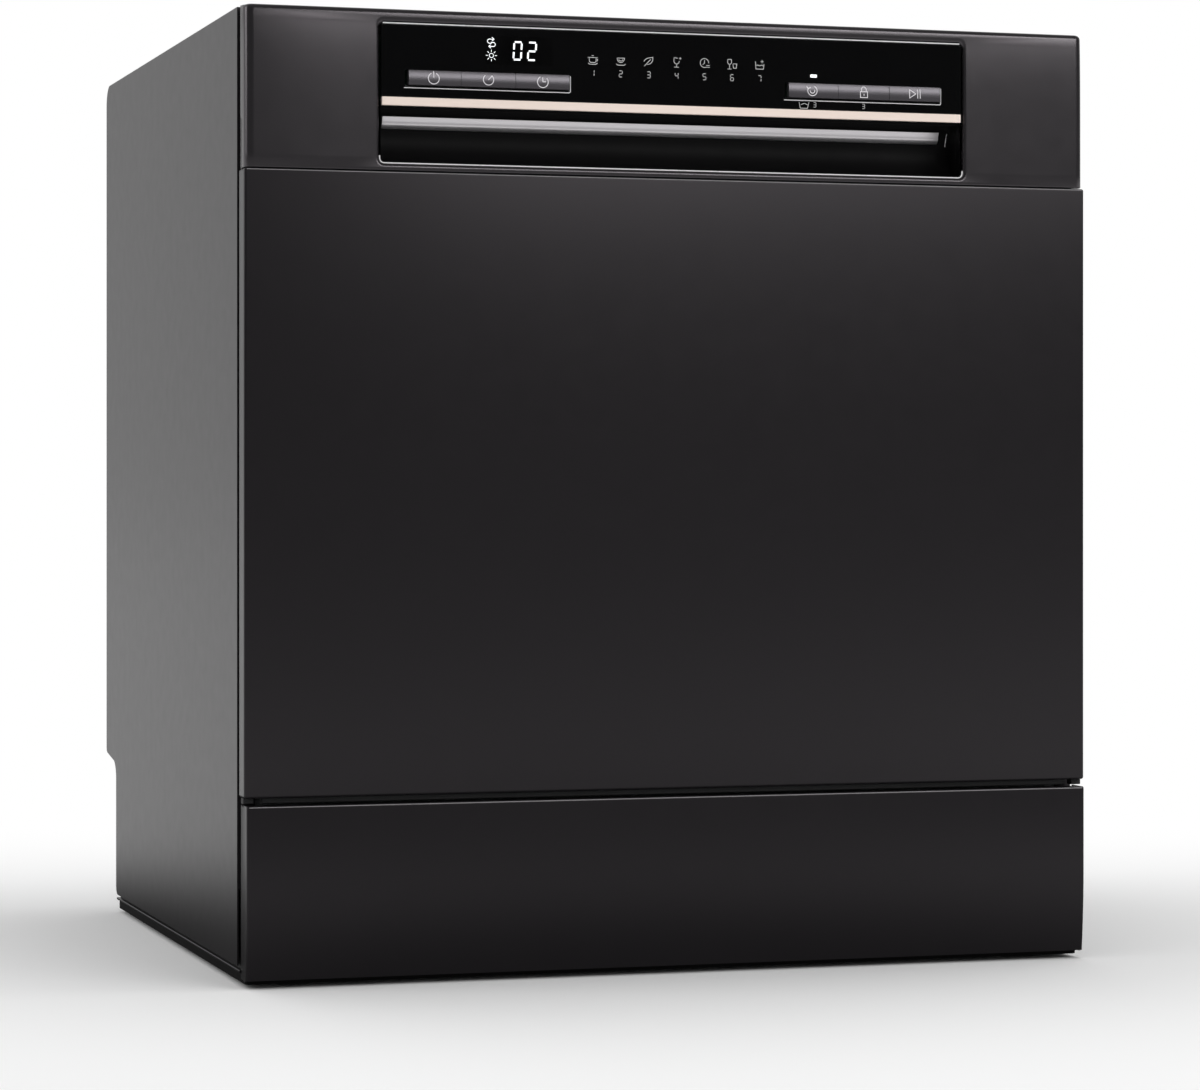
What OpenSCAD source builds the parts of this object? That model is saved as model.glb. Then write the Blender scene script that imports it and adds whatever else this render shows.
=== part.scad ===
// Countertop dishwasher with a drop-down door, built as an assembly of sheet-metal, moulded and wire parts.
// Millimetres. X runs to the right seen from the front, Y from the front to the rear, Z up from the floor.
// Depths (d) are measured behind the face of the door, heights (z) above the floor.

/* [Cabinet] */
// Width over the side panels
cabinet_w = 550; // [520:1:600]
// Height of the cabinet
cabinet_h = 595; // [585:1:640]
// Depth over everything, kick plate included
cabinet_d = 500; // [490:1:560]
// Thickness of the sheet steel
sheet_t = 1; // [0.8:0.1:1.2]
// Radius of the upper rear corner
rear_corner_r = 14; // [6:1:20]
// Height of the side panels' lower edge
side_z = 12.5; // [10:0.5:16]
// Height of the recess at the bottom of the rear
rear_step_h = 108; // [100:1:112]
// Depth of the recess at the bottom of the rear
rear_step_d = 41; // [36:1:46]
// Rise of the recess's sloping roof
rear_step_rise = 4; // [2:1:8]
// Radius inside the recess
rear_step_r = 13; // [8:1:14]
// Set-back of the rear panel from the side panels' edge
rear_inset = 1.2; // [1:0.1:3]

/* [Door] */
// Height of the door's lower edge above the floor
door_z = 115.4; // [113:0.2:118]
// Height of the seam between door and control fascia below the top
fascia_h = 99; // [95:1:105]
// Seam between door and control fascia
seam = 0.6; // [0.4:0.1:1]
// Depth of the door's side flanges
door_flange_d = 15; // [13:0.5:15.5]
// Shadow gap between the door and the side panels
shadow_gap = 6.75; // [6:0.25:9]
// Thickness of the whole door
door_d = 44; // [42:1:48]
// Depth of the pressed field in the inner door
liner_dish = 8; // [5:1:9]
// Distance of the hinge axis from the door's face and from its lower edge
hinge_in = 8.5; // [8.3:0.1:8.7]
// Radius of the hinge pins
hinge_pin_r = 4; // [3.5:0.1:4.2]

/* [Kick plate] */
// How far the kick plate stands proud of the door
kick_proud = 3; // [1:0.5:3]
// Gap between kick plate and door
kick_gap = 4.6; // [4:0.2:6]
// Height of the kick plate's lower edge
kick_z = 5.3; // [4:0.1:7]
// Height at which the kick plate starts to sweep back
kick_sweep_z = 60; // [40:1:80]

/* [Controls] */
// Width of the opening for window and handle pocket
opening_w = 383; // [375:1:395]
// Border of the fascia above the opening
opening_top = 9; // [8:0.5:12]
// Border of the fascia below the opening
opening_bottom = 4.7; // [4:0.1:5]
// Height of the handle pocket's mouth
pocket_h = 35.3; // [33:0.1:38]
// Depth of the handle pocket
pocket_d = 30; // [26:1:32]
// Height of the metal trim strip
trim_h = 5.2; // [4:0.2:6]
// Distance between the middles of the key groups
group_pitch = 246; // [236:1:256]
// Width of one key
key_w = 34.4; // [28:0.2:36]
// Height of the keys
key_h = 9.2; // [8:0.2:10]
// Height of the keys' middle above the trim strip
key_rise = 12; // [11:0.5:14]
// Travel of the keys
key_travel = 1; // [0.5:0.1:1.2]

/* [Tub] */
// Gap between the tub and the cabinet's side
tub_side_gap = 32; // [30:1:38]
// Gap between the tub and the cabinet's top
tub_top_gap = 33.8; // [30:1:40]
// Gap between the tub and the cabinet's rear
tub_rear_gap = 28; // [24:1:40]
// Height of the tub's underside
tub_z = 148; // [144:1:152]
// Thickness of the tub's steel
tub_t = 1.2; // [1:0.1:1.5]
// Radius of the tub's corners
tub_r = 12; // [8:1:14]

/* [Racks] */
// Radius of the thin wires
wire_r = 1.5; // [1.2:0.1:1.7]
// Radius of the rim wires
rim_r = 2.4; // [2:0.1:2.8]
// Height of the lower rack's floor
lower_rack_z = 182; // [180:1:188]
// Height of the lower rack's walls
lower_rack_h = 120; // [90:2:130]
// Height of the upper rack's floor
upper_rack_z = 440; // [430:2:450]
// Height of the upper rack's walls
upper_rack_h = 62; // [50:2:66]
// Free play of a rack behind the closed door
rack_play = 15; // [8:1:16]
// Radius of the rack wheels
wheel_r = 14; // [12:0.5:15]
// Height of the cutlery basket
basket_h = 105; // [80:5:115]

/* [Wash parts] */
// Length of half the lower spray arm
lower_arm_r = 178; // [120:2:180]
// Length of half the upper spray arm
upper_arm_r = 170; // [120:5:180]
// Radius of the filter's well
sump_r = 50; // [44:1:54]
// Radius of the wash pump's impeller
wash_impeller_r = 34; // [24:1:35]
// Radius of the drain pump's impeller
drain_impeller_r = 16; // [12:1:17]
// Radius of the water inlet's thread
inlet_r = 13.2; // [10:0.1:14]
// Radius of the drain spigot
drain_r = 9.5; // [8:0.1:11]

/* [Feet] */
// Radius of the foot pads
foot_r = 18; // [14:1:22]
// Radius of the feet's threaded studs
stud_r = 4; // [3:0.5:5]

/* [Hidden] */
$fn = 48;

// Clearances and laps
run_fit = 0.05;   // between a pin and its bore, on the radius
rest_gap = 0.3;   // between parts that rest on or slide along each other
wheel_play = 0.95; // between the rack's wheels and the ledges they run on
part_gap = 0.25;  // round a key in its window
slit = 0.1;       // between sheets that lie against each other
eps = 0.01;       // lets a cut pass through a face
cut = 1;          // how far a cut runs past the wall that it goes through

// Cabinet
half_w = cabinet_w / 2;
door_y = -cabinet_d / 2 + kick_proud;
rear_d = cabinet_d - kick_proud;
side_d = door_flange_d + shadow_gap;
panel_x = half_w - sheet_t;
flange_w = 10;
top_lip = 5;
top_lap = 4;
step_d = rear_d - rear_step_d;
step_edge_r = 3;
low_edge_r = 6;
vent_x = 120;
vent_w = 70;
vent_n = 10;
vent_pitch = 10;
vent_h = 4;
vent_z = cabinet_h - 175;
screw_r = 4;
screw_head = 1.2;
screw_side = 14;
screw_mid_x = 110;
screw_z0 = rear_step_h + 42;
screw_z1 = cabinet_h - 35;

// Base
tray_gap = 2;
tray_x = panel_x - tray_gap;
tray_t = 2.5;
tray_z = 7.5;
tray_floor = tray_z + tray_t;
tray_d = 4.5;
tray_rear = step_d - 1.5;
tray_front_h = 92.5;
tray_rear_h = 80;
tray_side_h = 50;
tray_lap = 2;
boss_h = 16;
boss_wall = 5;
stud_over = 8;
foot_x = half_w - 36;
foot_front_d = 38;
foot_rear_in = 30;
foot_ds = [foot_front_d, tray_rear - foot_rear_in];
stand_t = 6;
tub_stand_x = 208;
tub_stand_w = 10;
tub_stand_l = 60;

// Kick plate
kick_top = door_z - kick_gap;
kick_x = half_w - 1;
kick_steps = 8;
kick_stud_r = 5;
kick_studs = [-200, -70, 70, 200];
kick_stud_drop = 22;

// Front frame
frame_t = 1.2;
post_in = 18;
post_out = 6.5;
post_x0 = half_w - post_in;
post_x1 = half_w - post_out;
gasket_t = 5;
mouth_d = door_d + gasket_t;
frame_top = cabinet_h - 3;
frame_flange = 14;
apron_x = panel_x - flange_w - 0.2;
apron_d = side_d + 3;
apron_rise = 10.8;
apron_lap = 6;

// Door
seam_z = cabinet_h - fascia_h;
hinge_d = hinge_in;
hinge_z = door_z + hinge_in;
liner_side = 21;
liner_x = half_w - liner_side;
liner_z0 = hinge_z + 2.1;
liner_z1 = cabinet_h - 10;
liner_flange_x = panel_x - 0.4;
liner_flange_z0 = door_z + 1.2;
liner_flange_z1 = cabinet_h - 3;
dish_side = 26;
dish_x = liner_x - dish_side;
dish_z0 = liner_z0 + 39;
dish_z1 = liner_z1 - 45;
notch_x = liner_x - 6;
notch_z = hinge_z + 10;
pan_lip = 12;
door_screw_side = 10;
door_screw_r = 3.6;
door_screw_head = 1.6;
door_screw_z0 = door_z + 85;
door_screw_z1 = cabinet_h - 25;

// Hinges
bracket_in = 4.3;
bracket_x0 = post_x1 - bracket_in;
bracket_t = 3;
bracket_drop = 20;
bracket_rise = 26;
bracket_play = 1;
slot_deep = 3;
arm_h = 5.5;
arm_eye = 1;
bracket_plate_in = 4;
bracket_seat = 0.2;
lever_t = 3;
lever_h = 70;
lever_d = [2, 13];
spring_l = 11.7;
spring_wire = 1.2;
spring_gap = 1.8;
spring_coils = 10;

// Controls
fascia_x = half_w - 0.6;
fascia_t = 2.5;
fascia_r = 5.5;
fascia_sill = 1.6;
open_x = opening_w / 2;
open_z0 = seam_z + opening_bottom;
open_z1 = cabinet_h - opening_top;
open_r = 3;
window_x = open_x - 1.5;
trim_z0 = open_z0 + pocket_h;
trim_z1 = trim_z0 + trim_h;
trim_d = [0.2, 3.2];
window_z0 = trim_z1 + 0.2;
window_z1 = open_z1 - 0.4;
window_d0 = 0.8;
window_t = 2.5;
pocket_wall = 3;
pocket_side = 4;
pocket_hook_r = 8;
pocket_hook_drop = 4;
key_z = trim_z1 + key_rise;
key_pitch = key_w + part_gap;
key_front = -1.5;
key_back = 5;
key_round = 0.72;
key_stem = 2;
board_d = 10.5;
board_t = 1.6;
board_end = 8;
switch_t = 1.2;
switch_w = 3;
display_x = [-125, -81];
display_rise = 9;
lamp_pitch = 18.2;
lamp_d = 5;
latch_z = liner_z1 - 9;
latch_x = 22;
latch_d = 24;
latch_drop = 10;
tongue_x = 8;
tongue_t = 3;
tongue_d = 30;
tongue_room = 3;

// Tub
tub_x = half_w - tub_side_gap;
tub_top = cabinet_h - tub_top_gap;
tub_rear = rear_d - tub_rear_gap;
tub_in_x = tub_x - tub_t;
tub_floor = tub_z + tub_t;
tub_ceiling = tub_top - tub_t;
tub_back = tub_rear - tub_t;
tub_flange_low = 9;
tub_flange_high = 6;
gasket_w = 8;
gasket_low = 5;
gasket_x = tub_x + gasket_w;
break_t = 22;
break_d = [150, 380];
break_z = [180, 480];
break_wall = 2;
break_cells = 5;
break_port_r = 16;

// Wash parts, placed in the tub
hub_d = 255;
hub_r = 10;
hub_out_r = 15;
sump_deep = 48;
sump_z0 = tub_z - sump_deep;
sump_stand_w = 20;
sump_wall = 2.5;
sump_rim = 10;
sump_rim_t = 2;
pipe_low = 16;
pipe_z = tub_z - pipe_low;
pipe_r = 9;
hub_foot = 14;
hub_collar = 3;
hub_seat = 1;
hub_bore_low = 8;
stud_step = 2;
stud_wall = 2;
stud_tip = 6;
hub_stud_r = hub_r - stud_step;
sump_pipe_in = 20;
sump_pipe_z = [-12, 8];
filter_x = 80;
filter_d = 175;
filter_r = 38;
filter_t = 2;
filter_grip_l = 26;
filter_grip_t = 3;
filter_slots = 5;
filter_slot_pitch = 8;
filter_slot_in = 4;
filter_slot_l = 5;
filter_foot = 8;
filter_rim_r = 6;
filter_rim_t = 0.5;
filter_grip_low = 20;
filter_grip_high = 6;
filter_top = 4;
salt_x = 170;
salt_d = 112;
salt_box_x = [-34, 66];
salt_box_d = [-60, 44];
salt_shoulder = 14;
neck_r = 26;
neck_t = 4;
neck_h = 3;
salt_lid_h = 10;
salt_plug = 11;
salt_grip = 18;
float_x = -180;
float_d = 112;
float_r = 20;
float_h = 14;
float_stem_r = 4;
float_stem_l = 24;
arm_z = tub_floor + 15;
arm_t = 7;
arm_tip_r = 9;
arm_mid_r = 17;
arm_hub_r = 21;
arm_hub_low = 4;
arm_hub_high = 3;
jet_n = 5;
jet_r = 1.6;
duct_d = tub_back - 14;
duct_x = 18;
duct_front = 6;
duct_wall = 2;
duct_top = upper_rack_z + 20;
duct_foot_r = 10;
feed_z = upper_rack_z - 10;
feed_r = 9;
feed_stud_r = 7;
feed_stud_l = 26;
feed_stop_r = 11;
feed_arm_z = feed_z - 24;
feed_d1 = duct_d - 8;

// Racks
rack_x = tub_in_x - 22;
rack_d0 = mouth_d + 2 + rack_play;
rack_d1 = duct_d - 11;
rack_corner = 14;
low_ring = 3;
length_lift = 1.2;
wheel_w = 8;
tread_w = 3.5;
wheel_step = 1.5;
wheel_in = 44;
wheel_pin_r = 3;
wheel_block = [-4, 3];
wheel_block_l = 14;
wheel_block_z = [-1.5, 7];
wheel_cap_r = 4.5;
wheel_cap_t = 2;
wheel_z = lower_rack_z + 2;
wheel_x = rack_x + wheel_block[1] + rest_gap;
ledge_x = rack_x;
ledge_z = wheel_z - wheel_r - wheel_play;
wheel_ds = [rack_d0 + wheel_in, rack_d1 - wheel_in];
plate_rows = [-148, -60, 28];
tine_d0 = rack_d0 + 40;
tine_pitch = 34;
tine_n = 9;
tine_h = 62;
tine_lift = 1.4;
glass_rows = [40, 110];
glass_pin_n = 8;
glass_pin_pitch = 38;
glass_pin_h = 40;
row_in = 10;
upper_x = tub_in_x - 34;
upper_in = 4;
upper_d0 = rack_d0 + upper_in;
upper_d1 = rack_d1 - upper_in;
rail_z = upper_rack_z + 34;
rail_in_x = tub_in_x - 16;
rail_h = 10;
rail_t = 4;
rail_wall = 3.5;
runner_in = 12;
shelf_high = 48;
shelf_z = upper_rack_z + shelf_high;
shelf_in = 8;
shelf_x = -(upper_x - shelf_in);
shelf_w = 62;
shelf_t = 3;
shelf_bars = 7;
shelf_bar_w = 4;
shelf_clips = 4;
shelf_clip_l = 12;
shelf_clip_r = 4.2;
shelf_rod_r = 2;
shelf_lug_t = 3;
shelf_end = 6;
shelf_edge = 5;
shelf_spine_w = 8;
shelf_rod_gap = 0.5;
shelf_bar_in = 6;
shelf_bar_end = 4;
shelf_front = 40;
shelf_rear = 60;
shelf_d0 = upper_d0 + shelf_front;
shelf_d1 = upper_d1 - shelf_rear;
basket_x0 = rack_x - 92;
basket_w = 80;
basket_d0 = rack_d0 + 34;
basket_l = 200;
basket_t = 2;
basket_cells = 3;
basket_slots = 8;
basket_handle_h = 26;
basket_handle_w = 12;
basket_z = lower_rack_z + length_lift + wire_r + rest_gap;

// Dispenser in the inner door
dispenser_x = 100;
dispenser_z0 = 340;
dispenser_h = 90;
dispenser_z1 = dispenser_z0 + dispenser_h;
dispenser_d0 = 16;
dispenser_d1 = door_d - 4;
dispenser_rail = 3.4;
dispenser_rail_t = 2.6;
dispenser_rail_in = 6;
dispenser_back = 3;
cup_x = [-92, -24];
cup_z = [dispenser_z0 + 10, dispenser_z1 - 10];
lid_t = 2;
lid_lap = 2;
lid_grip_w = 10;
lid_grip_h = 28;
cap_x = 80;
cap_z = dispenser_z0 + dispenser_h / 2;
cap_r = 15;
cap_t = 2.4;
cap_grip_l = 22;
port_r = 12;
port_l = 10;
port_back = 4;

// Pumps and water parts in the base
pump_z = 62;
pump_d = 310;
pump_x = -70;
pump_body_r = 36;
pump_motor_l = 78;
pump_foot = [-104, -60];
wash_chamber = 26;
drain_pump_x = 150;
drain_pump_d = 330;
drain_body_r = 24;
drain_motor_l = 40;
drain_foot = [-24, 10];
drain_chamber = 20;
chamber_wall = 2.5;
chamber_gap = 3;
spout_l = 26;
spout_wall = 2;
shaft_r = 4;
vanes = 6;
vane_t = 1.6;
heater_r = 20;
heater_l = 60;
heater_neck_l = 12;
heater_neck_r = 11;
inlet_x = -190;
outlet_x = 190;
connector_z = 50;
inlet_out = 22;
inlet_in = 30;
inlet_wall = 4.5;
inlet_flange = 5;
hole_gap = 1.5;
collar_out = 0.5;
inlet_depth = 20;
valve_x = 16;
valve_l = 42;
valve_rise = 18;
coil_r = 13;
coil_h = 30;
drain_out = 26;
drain_flange = 6;
drain_wall = 2.5;
drain_block_x = 13;
board_box_gap = 6;
board_box_w = 60;
board_box_d = [60, 215];
board_box_h = 74;
board_fins = 6;
board_fin_pitch = 24;
board_fin_l = 17;
board_fin_h = 8;

// A block between limits in width, depth and height
module block(x, d, z) {
    translate([x[0], door_y + d[0], z[0]])
        cube([x[1] - x[0], d[1] - d[0], z[1] - z[0]]);
}

// Round bars along the three axes
module rod_x(x, d, z, r) {
    translate([x[0], door_y + d, z]) rotate([0, 90, 0]) cylinder(h = x[1] - x[0], r = r);
}
module rod_y(x, d, z, r) {
    translate([x, door_y + d[0], z]) rotate([-90, 0, 0]) cylinder(h = d[1] - d[0], r = r);
}
module rod_z(x, d, z, r) {
    translate([x, door_y + d, z[0]]) cylinder(h = z[1] - z[0], r = r);
}

// A section drawn in depth and height, drawn out along the width
module along_x(x) {
    translate([x[0], door_y, 0]) rotate([90, 0, 90]) linear_extrude(x[1] - x[0]) children();
}

// A section drawn in width and height, drawn out along the depth
module along_y(d) {
    translate([0, door_y + d[1], 0]) rotate([90, 0, 0]) linear_extrude(d[1] - d[0]) children();
}

module mirrored() {
    children();
    mirror([1, 0, 0]) children();
}

// Limits that reach w to both sides of c
function around(c, w) = [c - w, c + w];

// Limits set in by i at both ends
function inside(a, i) = [a[0] + i, a[1] - i];

// A flat rectangle with round corners
module round_rect(x, y, r) {
    translate([x[0] + r, y[0]]) square([x[1] - x[0] - 2 * r, y[1] - y[0]]);
    translate([x[0], y[0] + r]) square([x[1] - x[0], y[1] - y[0] - 2 * r]);
    for (cx = inside(x, r), cy = inside(y, r))
        translate([cx, cy]) circle(r);
}

// Side view of the cabinet, set in by i all round
module cabinet_outline(i = 0) {
    difference() {
        union() {
            translate([side_d, side_z])
                square([rear_d - rear_corner_r - side_d, cabinet_h - i - side_z]);
            translate([side_d, side_z])
                square([rear_d - i - side_d, cabinet_h - rear_corner_r - side_z]);
            translate([rear_d - rear_corner_r, cabinet_h - rear_corner_r]) circle(rear_corner_r - i);
        }
        rear_step(i);
    }
}
module rear_step(i = 0) {
    c = [step_d + rear_step_r, rear_step_h - rear_step_r];
    translate([c[0], 0]) square([rear_step_d, rear_step_h + i]);
    translate([step_d - i, 0]) square([rear_step_d, c[1]]);
    translate(c) circle(rear_step_r + i);
    polygon([[c[0], rear_step_h + i - eps], [rear_d + eps, rear_step_h + i - eps],
             [rear_d + eps, rear_step_h + rear_step_rise + i], [c[0], rear_step_h + i]]);
}

// What is cut off a corner that points to the rear and down, to round it
module corner_cut(d, z, r) {
    difference() {
        translate([d - r, z - cut]) square([r + cut, r + cut]);
        translate([d - r, z + r]) circle(r);
    }
}

// Sheet-metal cabinet ---------------------------------------------------------------

module side_panel() {
    flange_z = [tray_z + tray_side_h + 1, cabinet_h - top_lip - rest_gap];
    hinge_room = arm_h + 2 * arm_eye;
    color("#6b686b")
        difference() {
            union() {
                along_x([panel_x, half_w])
                    difference() {
                        cabinet_outline();
                        corner_cut(step_d, side_z, low_edge_r);
                        corner_cut(rear_d, rear_step_h + rear_step_rise, step_edge_r);
                    }
                block([panel_x - flange_w, panel_x + eps], [side_d, side_d + sheet_t], flange_z);
            }
            block([bracket_x0 - bracket_play, panel_x], [side_d - cut, side_d + slot_deep],
                  around(hinge_z, hinge_room));
        }
}

module left_side_panel() { mirror([1, 0, 0]) side_panel(); }
module right_side_panel() { side_panel(); }

module top_panel() {
    color("#3a383a")
        along_x([-panel_x + slit, panel_x - slit])
            intersection() {
                union() {
                    difference() {
                        cabinet_outline();
                        cabinet_outline(sheet_t);
                    }
                    translate([side_d, cabinet_h - top_lip]) square([sheet_t, top_lip]);
                }
                translate([side_d, cabinet_h - rear_corner_r - top_lap])
                    square([rear_d, rear_corner_r + top_lap]);
            }
}

module rear_panel() {
    z = [tray_floor + tray_rear_h - tray_lap, cabinet_h - rear_corner_r - top_lap - 1];
    color("#4a484a")
        difference() {
            along_x([-panel_x + slit, panel_x - slit])
                intersection() {
                    difference() {
                        cabinet_outline(rear_inset);
                        cabinet_outline(rear_inset + sheet_t);
                    }
                    translate([step_d - 6, z[0]]) square([rear_d, z[1] - z[0]]);
                }
            for (x = [-vent_x, vent_x], i = [0:vent_n - 1])
                block(around(x, vent_w / 2), [rear_d - 4, rear_d],
                      [vent_z + i * vent_pitch, vent_z + i * vent_pitch + vent_h]);
        }
}

module base_tray() {
    inner_x = tray_x - tray_t;
    inner_d = [tray_d + tray_t, tray_rear - tray_t];
    color("#2a2a2c")
        difference() {
            union() {
                difference() {
                    block([-tray_x, tray_x], [tray_d, tray_rear], [tray_z, tray_z + tray_front_h]);
                    block([-inner_x, inner_x], inner_d, [tray_floor, cabinet_h]);
                    block([-half_w, half_w], [inner_d[0], tray_rear + cut], [tray_z + tray_side_h, cabinet_h]);
                }
                block([-tray_x, tray_x], [inner_d[1], tray_rear],
                      [tray_z + tray_side_h - eps, tray_z + tray_rear_h]);
                for (x = [-foot_x, foot_x], d = foot_ds)
                    rod_z(x, d, [tray_floor - eps, tray_z + boss_h], stud_r + boss_wall);
                tray_stands();
            }
            for (x = [-foot_x, foot_x], d = foot_ds)
                rod_z(x, d, [0, cabinet_h], stud_r + run_fit);
            rod_y(inlet_x, [inner_d[1] - cut, tray_rear + cut], connector_z, inlet_r + hole_gap + slit);
            rod_y(outlet_x, [inner_d[1] - cut, tray_rear + cut], connector_z, drain_r + hole_gap + slit);
        }
}

// Ribs of the base that carry the sump, the pumps and the tub
module tray_stands() {
    rib = [-stand_t / 2, stand_t / 2];
    foot = tray_floor - eps;
    block(around(filter_x, sump_stand_w), rib + [filter_d, filter_d], [foot, sump_z0]);
    block(pump_foot + [pump_x, pump_x], rib + [pump_d, pump_d], [foot, pump_z - pump_body_r]);
    block(drain_foot + [drain_pump_x, drain_pump_x], rib + [drain_pump_d, drain_pump_d],
          [foot, pump_z - drain_body_r]);
    for (s = [-1, 1])
        block(around(s * tub_stand_x, tub_stand_w / 2), around(hub_d, tub_stand_l / 2), [foot, tub_z]);
}

module kick_profile(t0, t1) {
    sweep = kick_sweep_z - kick_z;
    function swept(i, t) = [t - kick_proud + kick_proud * pow(i / kick_steps, 2),
                            kick_sweep_z - sweep * i / kick_steps];
    polygon(concat([[-kick_proud + t0, kick_top]],
                   [for (i = [0:kick_steps]) swept(i, t0)],
                   [for (i = [kick_steps:-1:0]) swept(i, t1)],
                   [[-kick_proud + t1, kick_top]]));
}

module kick_plate() {
    side = door_flange_d + kick_proud;
    color("#2f2d30") {
        along_x([-kick_x, kick_x]) kick_profile(0, sheet_t);
        for (x = [[-kick_x, -kick_x + sheet_t], [kick_x - sheet_t, kick_x]])
            intersection() {
                along_x(x) kick_profile(0, side);
                block([-half_w, half_w], [-kick_proud, door_flange_d], [0, cabinet_h]);
            }
        block([-kick_x, kick_x], [sheet_t / 2, tray_d - 0.5], [kick_z, kick_z + sheet_t]);
        for (x = kick_studs)
            rod_y(x, [-kick_proud + sheet_t / 2, tray_d], kick_top - kick_stud_drop, kick_stud_r);
    }
}

module front_frame() {
    head_z = tub_top + gasket_w + 2;
    color("#8d8f91")
        difference() {
            union() {
                mirrored() {
                    block([post_x1 - frame_t, post_x1], [side_d + sheet_t, mouth_d], [tray_floor, frame_top]);
                    for (d = [side_d + sheet_t, mouth_d - frame_t])
                        block([post_x0, post_x1], [d, d + frame_t], [tray_floor, frame_top]);
                }
                along_x([-apron_x, apron_x]) apron_profile();
                block([-post_x1, post_x1], [mouth_d - frame_t, mouth_d], [head_z, frame_top]);
                block([-post_x1, post_x1], [mouth_d - frame_t, mouth_d + frame_flange],
                      [frame_top - frame_t, frame_top]);
            }
            mirrored()
                block([bracket_x0 - slit, bracket_x0 + bracket_t + slit / 2], [side_d, side_d + slot_deep],
                      around(hinge_z, arm_h + arm_eye));
        }
}

// Folded cover under the door, from the top of the base's front wall to the lip of the tub
module apron_profile() {
    z0 = tray_z + tray_front_h;
    shelf_z0 = z0 + apron_rise;
    translate([tray_d, z0]) square([apron_d + 1 - tray_d, frame_t]);
    translate([apron_d, z0]) square([frame_t, apron_rise + frame_t]);
    translate([apron_d, shelf_z0]) square([mouth_d - apron_d, frame_t]);
    translate([mouth_d - frame_t, shelf_z0]) square([frame_t, tub_z - apron_lap - shelf_z0]);
}

// Foot: a pad with a threaded stud, screwed into the base from below
module foot(x, d) {
    color("#1c1c1e") {
        rod_z(x, d, [0, tray_z - rest_gap], foot_r);
        rod_z(x, d, [tray_z - rest_gap - eps, tray_z + boss_h + stud_over], stud_r);
    }
}
module foot_front_left() { foot(-foot_x, foot_ds[0]); }
module foot_front_right() { foot(foot_x, foot_ds[0]); }
module foot_rear_left() { foot(-foot_x, foot_ds[1]); }
module foot_rear_right() { foot(foot_x, foot_ds[1]); }

// Screws of the rear panel: four up each side, and two between the hose recess and the vents' middle
module cabinet_screws() {
    d = [rear_d - rear_inset, rear_d - rear_inset + screw_head];
    color("#b9bbbd") {
        for (x = [-1, 1] * (half_w - screw_side), i = [0:3])
            rod_y(x, d, screw_z0 + (screw_z1 - screw_z0) * i / 3, screw_r);
        for (x = [-1, 0, 1] * screw_mid_x, z = [screw_z0, screw_z1])
            rod_y(x, d, z, screw_r);
    }
}

// Tub and what is fixed in it ---------------------------------------------------------

// Section of the tub: upright box whose lower corners step in to make ledges for the rack's wheels
module tub_section(i) {
    difference() {
        round_rect([-tub_x + i, tub_x - i], [tub_z + i, tub_top - i], tub_r - i);
        mirrored() translate([ledge_x - i + tub_t, 0]) square([cabinet_w, ledge_z - tub_t + i]);
    }
}

module tub() {
    color("#b4b7ba")
        difference() {
            union() {
                along_y([mouth_d, tub_rear]) tub_section(0);
                along_y([mouth_d, mouth_d + tub_t])
                    round_rect([-post_x1, post_x1],
                               [tub_z - tub_flange_low, tub_top + gasket_w + tub_flange_high], 2);
            }
            along_y([mouth_d - cut, tub_back]) tub_section(tub_t);
            rod_z(filter_x, filter_d, [0, tub_floor + cut], sump_r + sump_wall + 0.5);
            rod_z(0, hub_d, [0, tub_floor + cut], hub_r + sump_wall + 0.5);
            rod_z(salt_x, salt_d, [0, tub_floor + cut], neck_r + 0.5);
            rod_z(float_x, float_d, [0, tub_floor + cut], float_stem_r + run_fit);
            rod_z(0, duct_d, [0, tub_floor + cut], duct_foot_r + 0.5);
        }
}

module tub_gasket() {
    color("#1b1b1c")
        along_y([door_d + rest_gap, mouth_d])
            difference() {
                round_rect([-gasket_x, gasket_x], [tub_z - gasket_low, tub_top + gasket_w], tub_r);
                round_rect([-tub_x, tub_x], [tub_floor + 1, tub_top], tub_r - 1);
            }
}

module rack_rails() {
    color("#c6c8ca")
        mirrored()
            difference() {
                block([rail_in_x, tub_in_x], [mouth_d + 8, tub_back - 20], around(rail_z, rail_h));
                block([rail_in_x - cut, tub_in_x - rail_wall], [0, tub_rear], around(rail_z, rail_h - rail_t));
            }
}

// Water way from the sump, up the rear of the tub, to the upper spray arm
module delivery_duct() {
    color("#55585b") {
        difference() {
            block([-duct_x, duct_x], [duct_d - duct_front, tub_back], [tub_floor, duct_top]);
            block(inside([-duct_x, duct_x], duct_wall), inside([duct_d - duct_front, tub_back], duct_wall),
                  inside([tub_floor, duct_top], duct_wall));
        }
        rod_z(0, duct_d, [pipe_z - pipe_r, tub_floor + 1], duct_foot_r);
        rod_y(0, [hub_d + hub_out_r + rest_gap, duct_d + duct_front], pipe_z, pipe_r);
        rod_y(0, [feed_d1 + rest_gap, duct_d - duct_front + 1], feed_z, feed_r);
    }
}

// Chamber with dividing walls on the tub's left side, where the water comes in
module air_break() {
    x1 = tub_x + 2;
    cell = (break_d[1] - break_d[0] - break_wall) / break_cells;
    color("#d8dadb")
        difference() {
            union() {
                block([-x1 - break_t, -x1], break_d, break_z);
                rod_x([-x1 - eps, -tub_x], (break_d[0] + break_d[1]) / 2, (break_z[0] + break_z[1]) / 2,
                      break_port_r);
            }
            for (i = [0:break_cells - 1])
                block([-x1 - break_t + break_wall, -x1 - break_wall],
                      [break_d[0] + break_wall + i * cell, break_d[0] + (i + 1) * cell], inside(break_z, break_wall));
        }
}

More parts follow.
